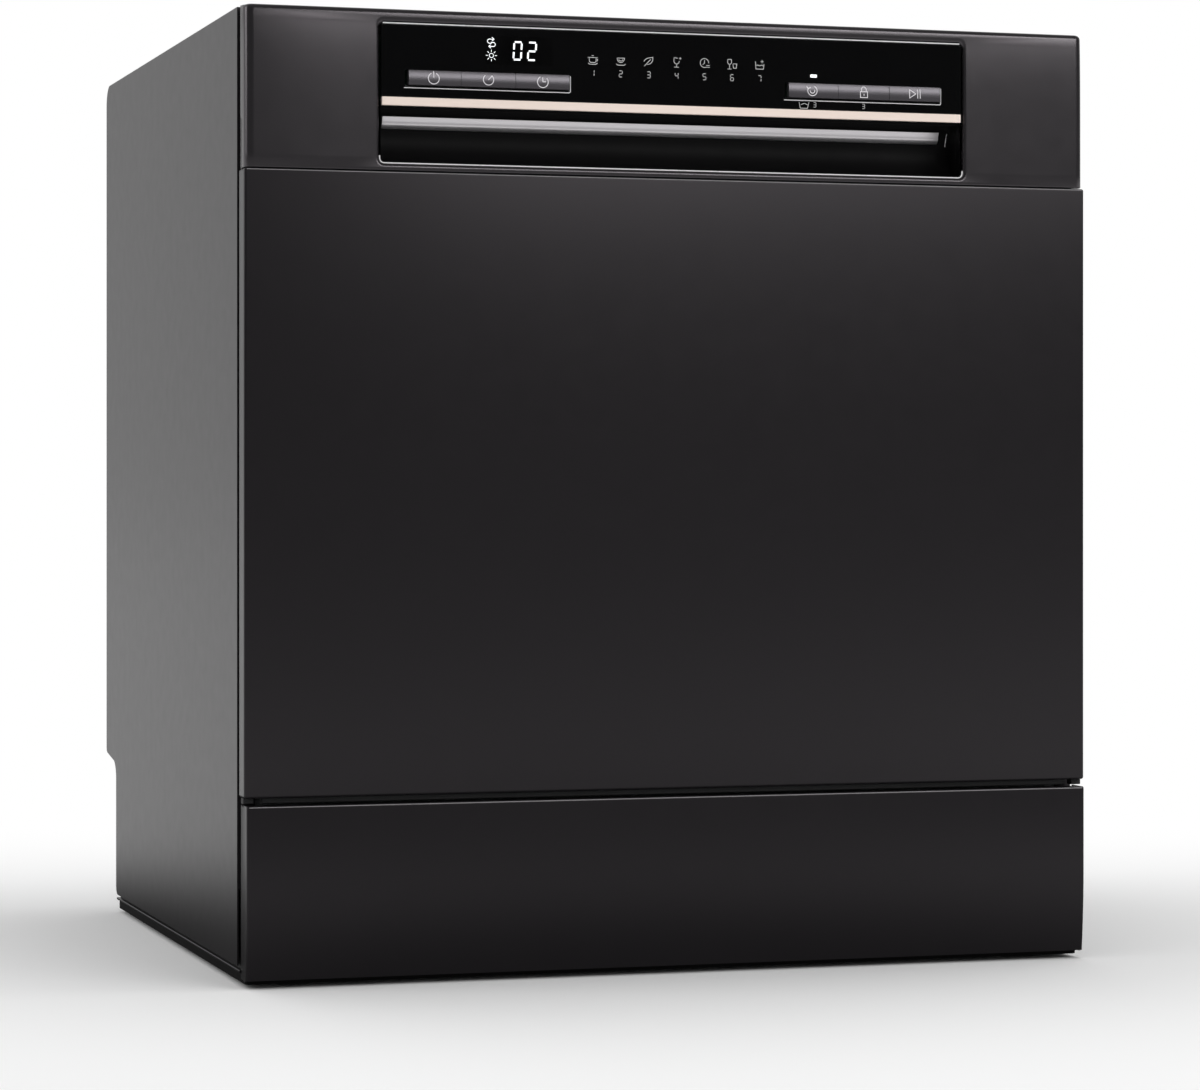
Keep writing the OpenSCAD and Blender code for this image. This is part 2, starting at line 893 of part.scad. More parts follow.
module sump() {
    outer_r = sump_r + sump_wall;
    color("#3c3f42")
        difference() {
            union() {
                rod_z(filter_x, filter_d, [sump_z0, tub_floor], outer_r);
                rod_z(filter_x, filter_d, [tub_floor, tub_floor + sump_rim_t], sump_r + sump_rim);
                rod_z(0, hub_d, [pipe_z - hub_foot, tub_floor + hub_collar], hub_r + sump_wall);
                rod_z(0, hub_d, [pipe_z - hub_foot, tub_z - hub_seat], hub_out_r);
                rod_z(0, hub_d, [tub_floor + hub_collar - eps, arm_z + arm_t + stud_tip], hub_stud_r);
                block([0, filter_x], [filter_d + sump_pipe_in, hub_d], sump_pipe_z + [pipe_z, pipe_z]);
            }
            rod_z(filter_x, filter_d, [sump_z0 + sump_wall, cabinet_h], sump_r);
            rod_z(0, hub_d, [pipe_z - hub_bore_low, arm_z + arm_t + arm_hub_high], hub_stud_r - stud_wall);
        }
}

module softener_tank() {
    top = tub_z - salt_shoulder;
    color("#cfd2d2")
        difference() {
            union() {
                block(salt_box_x + [salt_x, salt_x], salt_box_d + [salt_d, salt_d], [tray_floor, top]);
                rod_z(salt_x, salt_d, [top - eps, tub_floor + neck_h], neck_r);
            }
            rod_z(salt_x, salt_d, [tray_floor + neck_t, cabinet_h], neck_r - neck_t);
        }
}

module salt_cap() {
    seat = tub_floor + neck_h;
    top = tub_floor + salt_lid_h;
    color("#e4e4e2") {
        rod_z(salt_x, salt_d, [seat + rest_gap, top], neck_r + 1);
        rod_z(salt_x, salt_d, [seat - salt_plug, seat + 1], neck_r - neck_t - run_fit);
        block(around(salt_x, salt_grip), around(salt_d, 3), [top - 1, top + 5]);
    }
}

module filter() {
    top = tub_floor + filter_top;
    grip = [around(filter_x, filter_grip_l), around(filter_d, filter_grip_t)];
    color("#9a9c9e")
        difference() {
            union() {
                rod_z(filter_x, filter_d, [sump_z0 + filter_foot, top], filter_r);
                rod_z(filter_x, filter_d, [tub_floor + sump_rim_t + rest_gap, top + filter_rim_t],
                      sump_r + filter_rim_r);
                block(grip[0], grip[1], [sump_z0 + filter_grip_low, top + filter_grip_high]);
            }
            difference() {
                rod_z(filter_x, filter_d, [sump_z0 + filter_foot + filter_t, cabinet_h], filter_r - filter_t);
                block(grip[0], grip[1], [sump_z0, cabinet_h]);
            }
            for (x = [-1, 1] * (sump_r - filter_slot_in), i = [0:filter_slots - 1])
                block(around(filter_x + x, filter_slot_l),
                      around(filter_d + (i - 2) * filter_slot_pitch, filter_slot_pitch / 4), [tub_floor, top + cut]);
        }
}

module float() {
    color("#dcdedd") {
        rod_z(float_x, float_d, [tub_floor + rest_gap, tub_floor + float_h], float_r);
        rod_z(float_x, float_d, [tub_z - float_stem_l, tub_floor + 1], float_stem_r);
    }
}

// Spray arm turning on a hollow stud: a hub and two tapering blades with rows of jets
module spray_arm(r, z, bore_r) {
    tip = arm_tip_r;
    mid = arm_mid_r;
    color("#4c4f52")
        difference() {
            union() {
                translate([0, door_y + hub_d, z]) linear_extrude(arm_t) {
                    polygon([[-r, -tip], [0, -mid], [r, -tip], [r, tip], [0, mid], [-r, tip]]);
                    for (s = [-1, 1]) translate([s * r, 0]) circle(tip);
                }
                rod_z(0, hub_d, [z - arm_hub_low, z + arm_t + arm_hub_high], arm_hub_r);
            }
            rod_z(0, hub_d, [z - arm_hub_low - cut, z + arm_t + arm_hub_high + cut], bore_r);
            for (s = [-1, 1], i = [1:jet_n])
                rod_z(s * r * i / (jet_n + 0.2), hub_d + s * (i % 2 == 0 ? 4 : -4),
                      [z + arm_t / 2, z + arm_t + cut], jet_r);
        }
}
module lower_spray_arm() { spray_arm(lower_arm_r, arm_z, hub_stud_r + run_fit); }
module upper_spray_arm() { spray_arm(upper_arm_r, feed_arm_z, feed_stud_r + run_fit); }

// Racks ----------------------------------------------------------------------------------

// Closed wire with round corners, lying level
module wire_ring(x, d, z, r) {
    c = rack_corner;
    for (s = [-1, 1]) rod_y(s * x, inside(d, c), z, r);
    for (y = d) rod_x([-x + c, x - c], y, z, r);
    for (s = [0, 1], y = [0, 1])
        translate([(s * 2 - 1) * (x - c), door_y + (y == 0 ? d[0] + c : d[1] - c), z])
            rotate([0, 0, y == 0 ? (s == 0 ? 180 : 270) : (s == 0 ? 90 : 0)])
                rotate_extrude(angle = 90) translate([c, 0]) circle(r);
}

// Depth of cross wire i of n between the limits d
function cross_d(d, i, n) = d[0] + rack_corner + 8 + (d[1] - d[0] - 2 * rack_corner - 16) * i / (n - 1);

// Wire basket: a floor grid, upright wires and a rim
module wire_basket(x, d, z, h, lengths, crosses) {
    wire_ring(x, d, z + h, rim_r);
    wire_ring(x, d, z + low_ring, rim_r - 0.3);
    for (i = [0:lengths - 1]) {
        wx = -x + 2 * x * (i + 0.5) / lengths;
        rod_y(wx, d, z + length_lift, wire_r);
        for (y = d) rod_z(wx, y, [z + 1, z + h], wire_r - 0.1);
    }
    for (i = [0:crosses - 1]) {
        wd = cross_d(d, i, crosses);
        rod_x([-x, x], wd, z, wire_r + 0.4);
        for (s = [-1, 1]) rod_z(s * x, wd, [z, z + h], wire_r);
    }
}

// Rows of upright pins on a wire of the floor
module pin_rows(xs, d, z, d0, n, pitch, h) {
    for (x = xs) {
        rod_y(x, inside(d, row_in), z + tine_lift, wire_r + 0.1);
        for (i = [0:n - 1]) rod_z(x, d0 + i * pitch, [z, z + h], wire_r - 0.2);
    }
}

module lower_rack() {
    d = [rack_d0, rack_d1];
    color("#7b7e82") {
        wire_basket(rack_x, d, lower_rack_z, lower_rack_h, 8, 7);
        pin_rows(plate_rows, d, lower_rack_z, tine_d0, tine_n, tine_pitch, tine_h);
        mirrored() for (wd = wheel_ds) wheel_carrier(wd);
    }
}

// Block clipped on the rack's lower ring, with the axle stub and its cap
module wheel_carrier(d) {
    out = wheel_x + wheel_w + rest_gap;
    block(wheel_block + [rack_x, rack_x], around(d, wheel_block_l / 2), wheel_block_z + [lower_rack_z, lower_rack_z]);
    rod_x([rack_x, out + wheel_cap_t], d, wheel_z, wheel_pin_r);
    rod_x([out, out + wheel_cap_t], d, wheel_z, wheel_cap_r);
}

// Two wheels on their pins: a narrow tread that rolls and a smaller disc outside it
module wheel_pair(d) {
    color("#9b9da0")
        mirrored()
            difference() {
                union() {
                    rod_x([wheel_x, wheel_x + wheel_w], d, wheel_z, wheel_r - wheel_step);
                    rod_x([wheel_x, wheel_x + tread_w], d, wheel_z, wheel_r);
                }
                rod_x([wheel_x - cut, wheel_x + wheel_w + cut], d, wheel_z, wheel_pin_r + run_fit);
            }
}
module front_rack_wheels() { wheel_pair(wheel_ds[0]); }
module rear_rack_wheels() { wheel_pair(wheel_ds[1]); }

module upper_rack() {
    d = [upper_d0, upper_d1];
    color("#7b7e82") {
        wire_basket(upper_x, d, upper_rack_z, upper_rack_h, 8, 7);
        pin_rows(glass_rows, d, upper_rack_z, upper_d0 + 40, glass_pin_n, glass_pin_pitch, glass_pin_h);
        mirrored()
            block([upper_x - 1, tub_in_x - rail_wall - rest_gap], inside(d, runner_in),
                  around(rail_z, rail_h - rail_t - rest_gap));
        shelf_rod();
        feed_tube();
    }
}

// Rod for the cup shelf, held by two lugs on the rack's left wall
module shelf_rod() {
    rod_y(shelf_x, [shelf_d0, shelf_d1], shelf_z, shelf_rod_r);
    for (d = [shelf_d0, shelf_d1])
        block([-upper_x - 1, shelf_x + shelf_rod_r + 1], around(d, shelf_lug_t / 2),
              [shelf_z - 4, upper_rack_z + upper_rack_h]);
}

// Water pipe under the upper rack, with the stud that the upper spray arm turns on
module feed_tube() {
    low = feed_z - feed_stud_l;
    rod_y(0, [hub_d - 12, feed_d1], feed_z, feed_r);
    rod_z(0, hub_d, [low - 4, feed_z], feed_stud_r - eps);
    rod_z(0, hub_d, [low - 5, feed_arm_z - arm_hub_low - rest_gap], feed_stop_r);
    for (i = [4, 5])
        block([-16, 16], around(cross_d([upper_d0, upper_d1], i, 7), 3), [feed_z + 4, upper_rack_z + 1]);
}

// Fold-down shelf for cups, clipped on its rod
module cup_shelf() {
    l = shelf_d1 - shelf_d0;
    z = around(shelf_z, shelf_t / 2);
    side = inside([shelf_d0, shelf_d1], shelf_end);
    clip_pitch = (l - 2 * shelf_end - shelf_clip_l) / (shelf_clips - 1);
    bar_pitch = (l - 2 * (shelf_end + shelf_bar_end) - shelf_bar_w) / (shelf_bars - 1);
    color("#54575a") {
        difference() {
            union() {
                for (i = [0:shelf_clips - 1])
                    rod_y(shelf_x, [side[0] + i * clip_pitch, side[0] + i * clip_pitch + shelf_clip_l],
                          shelf_z, shelf_clip_r);
                block([shelf_x + shelf_rod_r + shelf_rod_gap, shelf_x + shelf_spine_w], side, z);
            }
            rod_y(shelf_x, [shelf_d0, shelf_d1], shelf_z, shelf_rod_r + run_fit);
        }
        block([shelf_x + shelf_w - shelf_edge, shelf_x + shelf_w], side, z);
        for (i = [0:shelf_bars - 1])
            block([shelf_x + shelf_bar_in, shelf_x + shelf_w - shelf_edge + 1],
                  around(side[0] + shelf_bar_end + shelf_bar_w / 2 + i * bar_pitch, shelf_bar_w / 2), z);
    }
}

module cutlery_basket() {
    x = [basket_x0, basket_x0 + basket_w];
    d = [basket_d0, basket_d0 + basket_l];
    top = basket_z + basket_h;
    mid = around(basket_x0 + basket_w / 2, basket_handle_w / 2);
    cell = basket_l / basket_cells;
    slot = (basket_l - 10) / basket_slots;
    posts = [d[0] + cell, d[1] - cell];
    color("#54575a")
        difference() {
            union() {
                difference() {
                    block(x, d, [basket_z, top]);
                    block(inside(x, basket_t), inside(d, basket_t), [basket_z + basket_t, cabinet_h]);
                }
                for (y = posts) {
                    block(x, around(y, basket_t / 2), [basket_z, top - 12]);
                    block(mid, around(y, basket_t / 2), [top - 14, top + basket_handle_h]);
                }
                block(mid, [posts[0] - basket_t / 2, posts[1] + basket_t / 2],
                      [top + basket_handle_h - 6, top + basket_handle_h]);
            }
            for (i = [0:basket_slots - 1])
                block([x[0] - cut, x[1] + cut], [d[0] + 10 + i * slot, d[0] + 10 + (i + 0.5) * slot],
                      [basket_z + 14, top - 16]);
        }
}

// Base parts -------------------------------------------------------------------------------

// Pump with its motor: a closed chamber for the impeller, an inlet and an outlet
module pump(x, d, body_r, impeller_r, motor_l, chamber_l) {
    back = x - chamber_l;
    spout_r = impeller_r * 0.4;
    difference() {
        union() {
            rod_x([back, x], d, pump_z, impeller_r + chamber_gap + 3);
            rod_x([back - motor_l, back + eps], d, pump_z, body_r);
            rod_x([x - eps, x + spout_l], d, pump_z, spout_r);
        }
        rod_x(inside([back, x], chamber_wall), d, pump_z, impeller_r + chamber_gap);
        rod_x([x - chamber_wall - cut, x + spout_l + cut], d, pump_z, spout_r - spout_wall);
    }
    rod_x([back, x - chamber_l / 2], d, pump_z, shaft_r);
}

// Impeller: a hub that sits on the motor's shaft, a back disc and vanes
module impeller(x, d, impeller_r, chamber_l) {
    x0 = x - chamber_l + chamber_wall + 0.5;
    hub = shaft_r + 3;
    color("#e0e2e3")
        difference() {
            union() {
                rod_x([x0, x0 + 2], d, pump_z, impeller_r);
                rod_x([x0, x - chamber_wall - 1.5], d, pump_z, hub);
                translate([x0 + 1, door_y + d, pump_z])
                    for (i = [0:vanes - 1])
                        rotate([i * 360 / vanes, 0, 0])
                            translate([0, hub - 1.5, -vane_t / 2])
                                cube([chamber_l / 2.4, impeller_r - hub + 0.5, vane_t]);
            }
            rod_x([x0 - cut, x - chamber_l / 2 + 0.5], d, pump_z, shaft_r + run_fit);
        }
}

module wash_pump() {
    color("#3a3c3e") pump(pump_x, pump_d, pump_body_r, wash_impeller_r, pump_motor_l, wash_chamber);
}
module wash_impeller() { impeller(pump_x, pump_d, wash_impeller_r, wash_chamber); }
module drain_pump() {
    color("#e6e6e2") pump(drain_pump_x, drain_pump_d, drain_body_r, drain_impeller_r, drain_motor_l, drain_chamber);
}
module drain_impeller() { impeller(drain_pump_x, drain_pump_d, drain_impeller_r, drain_chamber); }

module flow_heater() {
    x = pump_x + spout_l;
    color("#a9abad") {
        rod_x([x, x + heater_l], pump_d, pump_z, heater_r);
        rod_x([x + heater_l - eps, x + heater_l + heater_neck_l], pump_d, pump_z, heater_neck_r);
        for (d = [-8, 8])
            block([x + heater_l / 2, x + heater_l / 2 + 14], around(pump_d + d, 3),
                  [pump_z + heater_r - 4, pump_z + heater_r + 10]);
        block([x + 10, x + heater_l - 10], around(pump_d, stand_t / 2), [tray_floor, pump_z - heater_r + 2]);
    }
}

// Valve on the base's rear wall, with the threaded connector for the supply hose
module inlet_valve() {
    x = inlet_x;
    wall_d = tray_rear - tray_t;
    top = connector_z + valve_rise;
    block_d = [tray_rear - inlet_in + 2 - valve_l, tray_rear - inlet_in + 2];
    color("#eeeeea")
        difference() {
            union() {
                rod_y(x, [tray_rear - inlet_in, tray_rear + inlet_out], connector_z, inlet_r);
                rod_y(x, [wall_d - 5, wall_d], connector_z, inlet_r + inlet_flange);
                rod_y(x, [wall_d - eps, tray_rear + collar_out], connector_z, inlet_r + hole_gap);
                block(around(x, valve_x), block_d, [tray_floor, top]);
                rod_z(x, tray_rear - inlet_in - valve_l / 2 + 1, [top - eps, top + coil_h], coil_r);
            }
            rod_y(x, [tray_rear - inlet_depth, tray_rear + inlet_out + cut], connector_z, inlet_r - inlet_wall);
        }
}

module drain_outlet() {
    x = outlet_x;
    wall_d = tray_rear - tray_t;
    color("#5a5c5e")
        difference() {
            union() {
                rod_y(x, [drain_pump_d + drain_block_x, tray_rear + drain_out], connector_z, drain_r);
                rod_y(x, [wall_d - 4, wall_d], connector_z, drain_r + drain_flange);
                rod_y(x, [wall_d - eps, tray_rear + collar_out], connector_z, drain_r + hole_gap);
                block(around(x, drain_block_x), around(drain_pump_d, drain_block_x + 0.5), [tray_floor, pump_z + 14]);
            }
            rod_y(x, [drain_pump_d + 20, tray_rear + drain_out + cut], connector_z, drain_r - drain_wall);
        }
}

module main_board_box() {
    x0 = -tray_x + tray_t + board_box_gap;
    top = tray_floor + board_box_h;
    color("#2c2e30") {
        block([x0, x0 + board_box_w], board_box_d, [tray_floor, top]);
        for (i = [0:board_fins - 1])
            block(inside([x0, x0 + board_box_w], 6),
                  [board_box_d[0] + 8 + i * board_fin_pitch, board_box_d[0] + 8 + board_fin_l + i * board_fin_pitch],
                  [top - eps, top + board_fin_h]);
    }
}

// Hinges ---------------------------------------------------------------------------------------

module hinge_brackets() {
    x = [bracket_x0, bracket_x0 + bracket_t];
    back = mouth_d - frame_t - bracket_seat;
    color("#94979a")
        mirrored() {
            block(x, [hinge_d, back], around(hinge_z, arm_h));
            rod_x(x, hinge_d, hinge_z, arm_h + arm_eye);
            block(x, [side_d + bracket_plate_in, back], [hinge_z - bracket_drop, hinge_z + bracket_rise]);
            rod_x([x[0] - spring_l, panel_x - rest_gap], hinge_d, hinge_z, hinge_pin_r);
        }
}

// Counterbalance springs wound round the hinge pins, coil against coil
module hinge_springs() {
    pitch = spring_l / (spring_coils + 0.1);
    color("#cfd1d3")
        mirrored()
            translate([bracket_x0, door_y + hinge_d, hinge_z]) rotate([0, -90, 0])
                rotate_extrude()
                    for (i = [0:spring_coils - 1])
                        translate([hinge_pin_r + spring_gap, pitch * (i + 0.55)])
                            circle(r = spring_wire / 2, $fn = 16);
}

module hinge_levers() {
    z0 = door_z + 2;
    color("#94979a")
        mirrored()
            difference() {
                block([panel_x - lever_t, panel_x], lever_d, [z0, z0 + lever_h]);
                rod_x([panel_x - lever_t - cut, half_w], hinge_d, hinge_z, hinge_pin_r + run_fit);
            }
}

// Door ----------------------------------------------------------------------------------------

module hinge_notch(z1) {
    mirrored()
        block([bracket_x0 - bracket_play, bracket_x0 + bracket_t + bracket_play], [1.6, door_d], [door_z - cut, z1]);
}

module door_outer_panel() {
    t = sheet_t;
    z = [door_z, seam_z - seam / 2];
    color("#2e2c2f")
        difference() {
            block([-half_w, half_w], [0, door_flange_d], z);
            block([-panel_x, panel_x], [t, door_flange_d + cut], inside(z, t));
            block([-half_w + pan_lip, half_w - pan_lip], [4, door_flange_d + cut], [z[1] - t - cut, z[1] + cut]);
            hinge_notch(z[0] + t + cut);
        }
}

module door_inner_liner() {
    t = sheet_t;
    dish_d = door_d - liner_dish;
    flange_d = door_flange_d + t;
    color("#a7aaad")
        difference() {
            union() {
                // flange that closes the outer pan, then the pressed box of the inner door
                block([-liner_flange_x, liner_flange_x], [door_flange_d, flange_d],
                      [liner_flange_z0, liner_flange_z1]);
                difference() {
                    block([-liner_x, liner_x], [door_flange_d, door_d], [liner_z0, liner_z1]);
                    block(inside([-liner_x, liner_x], t), [0, door_d - t], inside([liner_z0, liner_z1], t));
                    block([-dish_x, dish_x], [dish_d, door_d + cut], [dish_z0, dish_z1]);
                }
                difference() {
                    block([-dish_x - t, dish_x + t], [dish_d - t, door_d], [dish_z0 - t, dish_z1 + t]);
                    block([-dish_x, dish_x], [dish_d, door_d + cut], [dish_z0, dish_z1]);
                }
            }
            block(inside([-liner_x, liner_x], t), [0, flange_d + eps], inside([liner_z0, liner_z1], t));
            mirrored() block([notch_x, half_w], [0, flange_d + 0.5], [0, notch_z]);
            block(around(0, tongue_x + 2), [dish_d, door_d + cut], [latch_z - 6, latch_z + 4]);
            block([-dispenser_x, dispenser_x], [0, door_d], [dispenser_z0, dispenser_z1]);
        }
}

// Moulded fascia: a shell with a soft upper edge and soft ends
module control_fascia() {
    t = fascia_t;
    z = [seam_z + seam / 2, cabinet_h];
    color("#343235")
        difference() {
            fascia_form(z, 0);
            block([-cabinet_w, cabinet_w], [door_flange_d - eps, door_flange_d + cut], z);
            fascia_form([z[0] + fascia_sill, z[1] - t], t);
            along_y([-cut, t + cut]) round_rect([-open_x, open_x], [open_z0, open_z1], open_r);
        }
}

// Outer form of the fascia, set in by i at the face and the ends; the hollow one runs out at the back
module fascia_form(z, i) {
    r = fascia_r - i;
    x = fascia_x - i;
    back = door_flange_d + (i > 0 ? cut : 0);
    intersection() {
        along_x([-x, x]) {
            translate([fascia_r, z[0]]) square([back - fascia_r, z[1] - z[0]]);
            translate([i, z[0]]) square([fascia_r - i + 1, z[1] - z[0] - r]);
            translate([fascia_r, z[1] - r]) circle(r);
        }
        translate([0, door_y, z[0]]) linear_extrude(z[1] - z[0]) {
            translate([-x, fascia_r]) square([2 * x, back - fascia_r]);
            translate([-x + r, i]) square([2 * (x - r), fascia_r - i + 1]);
            for (s = [-1, 1]) translate([s * (x - r), fascia_r]) circle(r);
        }
    }
}

// Place of key i: three on the left, three on the right
function key_x(i) = (i < 3 ? -1 : 1) * group_pitch / 2 + (i % 3 - 1) * key_pitch;

module display_window() {
    slot = key_w * 1.5 + part_gap * 2;
    color("#0b0b0c")
        difference() {
            block([-window_x, window_x], [window_d0, window_d0 + window_t], [window_z0, window_z1]);
            for (s = [-1, 1])
                block(around(s * group_pitch / 2, slot), [key_front - cut, window_d0 + window_t + cut],
                      around(key_z, key_h / 2 + part_gap));
        }
}

module trim_strip() {
    color("#ead7cb")
        block([-window_x + rest_gap, window_x - rest_gap], trim_d, [trim_z0, trim_z1]);
}

// Moulded cup behind the lower part of the opening: fingers hook up behind the trim strip
module grip_pocket() {
    r = pocket_h / 2;
    z0 = open_z0 + 0.4;
    x = [-open_x - pocket_side, open_x + pocket_side];
    hook_d = pocket_d - pocket_wall - pocket_hook_r;
    color("#151517")
        difference() {
            union() {
                block(x, [fascia_t, pocket_d + pocket_wall], [seam_z + 2, trim_z0 - slit]);
                block(x, [window_d0 + window_t + 0.2, pocket_d + pocket_wall], [trim_z0 - 0.2, trim_z1 + 7]);
            }
            along_x([-window_x, window_x]) {
                translate([pocket_d - r, z0 + r]) circle(r);
                translate([-cut, z0]) square([pocket_d - r + cut, pocket_h - 0.6]);
                translate([hook_d - pocket_hook_r, z0 + r]) square([2 * pocket_hook_r, r]);
                translate([hook_d, z0 + 2 * r - pocket_hook_drop]) circle(pocket_hook_r);
            }
        }
}

// Circuit board behind the window: display block, key switches and lamps
module control_board() {
    color("#1f5a3a") {
        block(inside([-window_x, window_x], board_end), [board_d, board_d + board_t], [trim_z1 + 8, open_z1 - 2]);
        block(display_x, [window_d0 + window_t + rest_gap, board_d + eps], [key_z + display_rise, open_z1 - 4]);
        for (i = [0:5])
            block(around(key_x(i), switch_w), [board_d - switch_t, board_d + eps], around(key_z, switch_w));
        for (i = [-3:3])
            block(around(i * lamp_pitch, 1), [board_d - lamp_d, board_d + eps], [key_z + 13, key_z + 16]);
    }
}

// Key: a bar with a rounded front, and a stem that reaches the switch
module key(i) {
    r = key_h * key_round;
    color("#5b595d") {
        intersection() {
            block(around(key_x(i), key_w / 2), [key_front, key_back], around(key_z, key_h / 2));
            rod_x(around(key_x(i), key_w), key_front + r, key_z, r);
        }
        block(around(key_x(i), key_stem), [key_back - 1, board_d - switch_t - key_travel - rest_gap],
              around(key_z, key_stem));
    }
}
module power_key() { key(0); }
module program_key() { key(1); }
module delay_key() { key(2); }
module extra_key() { key(3); }
module lock_key() { key(4); }
module start_key() { key(5); }

// Catch housing in the door, and the tongue on the frame that enters it
module door_latch() {
    color("#d9d9d6")
        difference() {
            block([-latch_x, latch_x], [latch_d, door_d - sheet_t], [latch_z - latch_drop, liner_z1 - sheet_t]);
            block(around(0, tongue_x + 1), [latch_d + 3, door_d + cut],
                  [latch_z - tongue_room - 2, latch_z + tongue_room]);
        }
}
module latch_strike() {
    wall_d = mouth_d - frame_t;
    front = wall_d - 1.5;
    color("#b5b8ba") {
        block([-latch_x + 2, latch_x - 2], [front, wall_d], [latch_z - 3, latch_z + 9]);
        block([-tongue_x, tongue_x], [tongue_d, front + eps], around(latch_z, tongue_t / 2));
    }
}

module dispenser_body() {
    z = [dispenser_z0, dispenser_z1];
    r = dispenser_rail;
    color("#d4d6d6")
        difference() {
            union() {
                block([-dispenser_x, dispenser_x], [dispenser_d0, dispenser_d1], z);
                for (e = [z[0] + dispenser_rail_in, z[1] - dispenser_rail_in - r])
                    block([cup_x[0] - 4, cap_x - cap_r - 3], [dispenser_d1 - eps, dispenser_d1 + dispenser_rail_t],
                          [e, e + r]);
            }
            block(cup_x, [dispenser_d0 + dispenser_back, door_d], cup_z);
            rod_y(cap_x, [dispenser_d0 + port_back, door_d], cap_z, port_r);
        }
}

// Lid that slides sideways between the dispenser's rails, with a finger ridge at its end
module dispenser_lid() {
    d = dispenser_d1 + rest_gap;
    edge = dispenser_rail_in + dispenser_rail + rest_gap;
    color("#4a4d50") {
        block([cup_x[0] - lid_lap, cup_x[1] + 2 * lid_lap], [d, d + lid_t],
              inside([dispenser_z0, dispenser_z1], edge));
        block([cup_x[1] + lid_lap - lid_grip_w, cup_x[1] + lid_lap], [d, d + lid_t + 1.4],
              around(cap_z, lid_grip_h / 2));
    }
}

module rinse_aid_cap() {
    d = dispenser_d1;
    color("#5f9ad0") {
        rod_y(cap_x, [d + rest_gap, d + cap_t], cap_z, cap_r);
        rod_y(cap_x, [d - port_l, d + rest_gap + eps], cap_z, port_r - run_fit);
        block(around(cap_x, cap_grip_l / 2), [d + cap_t - 0.1, d + cap_t + 3], around(cap_z, 2));
    }
}

module door_screws() {
    d0 = door_flange_d + sheet_t;
    color("#c2c4c6")
        for (x = [-1, 1] * (half_w - door_screw_side), i = [0:3])
            rod_y(x, [d0, d0 + door_screw_head], door_screw_z0 + (door_screw_z1 - door_screw_z0) * i / 3,
                  door_screw_r);
}

left_side_panel();
right_side_panel();
top_panel();
rear_panel();
base_tray();
kick_plate();
front_frame();
foot_front_left();
foot_front_right();
foot_rear_left();
foot_rear_right();
tub();
tub_gasket();
hinge_brackets();
hinge_springs();
latch_strike();
rack_rails();
delivery_duct();
air_break();
sump();
softener_tank();
wash_pump();
wash_impeller();
drain_pump();
drain_impeller();
flow_heater();
inlet_valve();
drain_outlet();
main_board_box();
cabinet_screws();
filter();
salt_cap();
float();
lower_spray_arm();
upper_spray_arm();
lower_rack();
front_rack_wheels();
rear_rack_wheels();
upper_rack();
cup_shelf();
cutlery_basket();
door_outer_panel();
door_inner_liner();
hinge_levers();
control_fascia();
display_window();
trim_strip();
grip_pocket();
control_board();
power_key();
program_key();
delay_key();
extra_key();
lock_key();
start_key();
door_latch();
dispenser_body();
dispenser_lid();
rinse_aid_cap();
door_screws();
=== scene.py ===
# %% [markdown]
# # A countertop dishwasher, dressed in Blender
#
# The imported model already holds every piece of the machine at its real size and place, so this lesson
# never moves it. It loads that model as a frame, sets up a small studio, writes one finish for each kind of
# material and then builds finer meshes where a plain solid is not good enough: the folded steel of the
# door, the rounded fascia, the finger pocket, the keys and their icons, and the pressed parts inside.

# %% Load the frame
import math

import bmesh
import bpy
from mathutils import Matrix, Vector


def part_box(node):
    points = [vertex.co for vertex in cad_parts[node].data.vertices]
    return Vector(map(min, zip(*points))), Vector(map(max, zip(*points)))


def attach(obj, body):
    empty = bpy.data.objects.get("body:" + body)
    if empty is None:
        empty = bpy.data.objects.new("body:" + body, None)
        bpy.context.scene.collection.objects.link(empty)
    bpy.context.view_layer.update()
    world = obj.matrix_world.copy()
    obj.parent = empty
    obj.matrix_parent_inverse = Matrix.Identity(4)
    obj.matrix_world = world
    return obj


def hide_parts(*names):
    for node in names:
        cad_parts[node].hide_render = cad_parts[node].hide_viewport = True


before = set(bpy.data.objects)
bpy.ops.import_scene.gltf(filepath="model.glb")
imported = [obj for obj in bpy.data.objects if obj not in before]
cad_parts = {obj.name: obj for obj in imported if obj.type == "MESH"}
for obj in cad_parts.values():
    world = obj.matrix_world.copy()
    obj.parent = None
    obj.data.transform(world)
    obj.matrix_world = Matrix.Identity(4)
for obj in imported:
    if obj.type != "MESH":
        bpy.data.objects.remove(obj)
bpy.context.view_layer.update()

scene = bpy.context.scene

# %% [markdown]
# Makers of appliances think in millimetres and Blender thinks in metres, so one constant joins the two. The
# depth of a part is easiest to read from the face of the door, which is where every depth below starts.

# %% Units and the main planes
MM = 0.001
door_low, door_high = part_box("door_outer_panel")
fascia_low, fascia_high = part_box("control_fascia")
FACE_Y = door_low.y
HALF_W = door_high.x


def depth(d):
    """Y of a point that lies d millimetres behind the face of the door."""
    return FACE_Y + d * MM


print("door face at y =", round(FACE_Y, 4), "half width", round(HALF_W, 4))

# %% [markdown]
# ## The studio
# A dark appliance looks best in a dark room with a white sweep behind it: the front mirrors the dark room
# and stays deep, while the side, seen at a flat angle, mirrors the sweep and turns pale. The camera is a
# long lens at the height of the machine's middle, so its uprights stay upright.

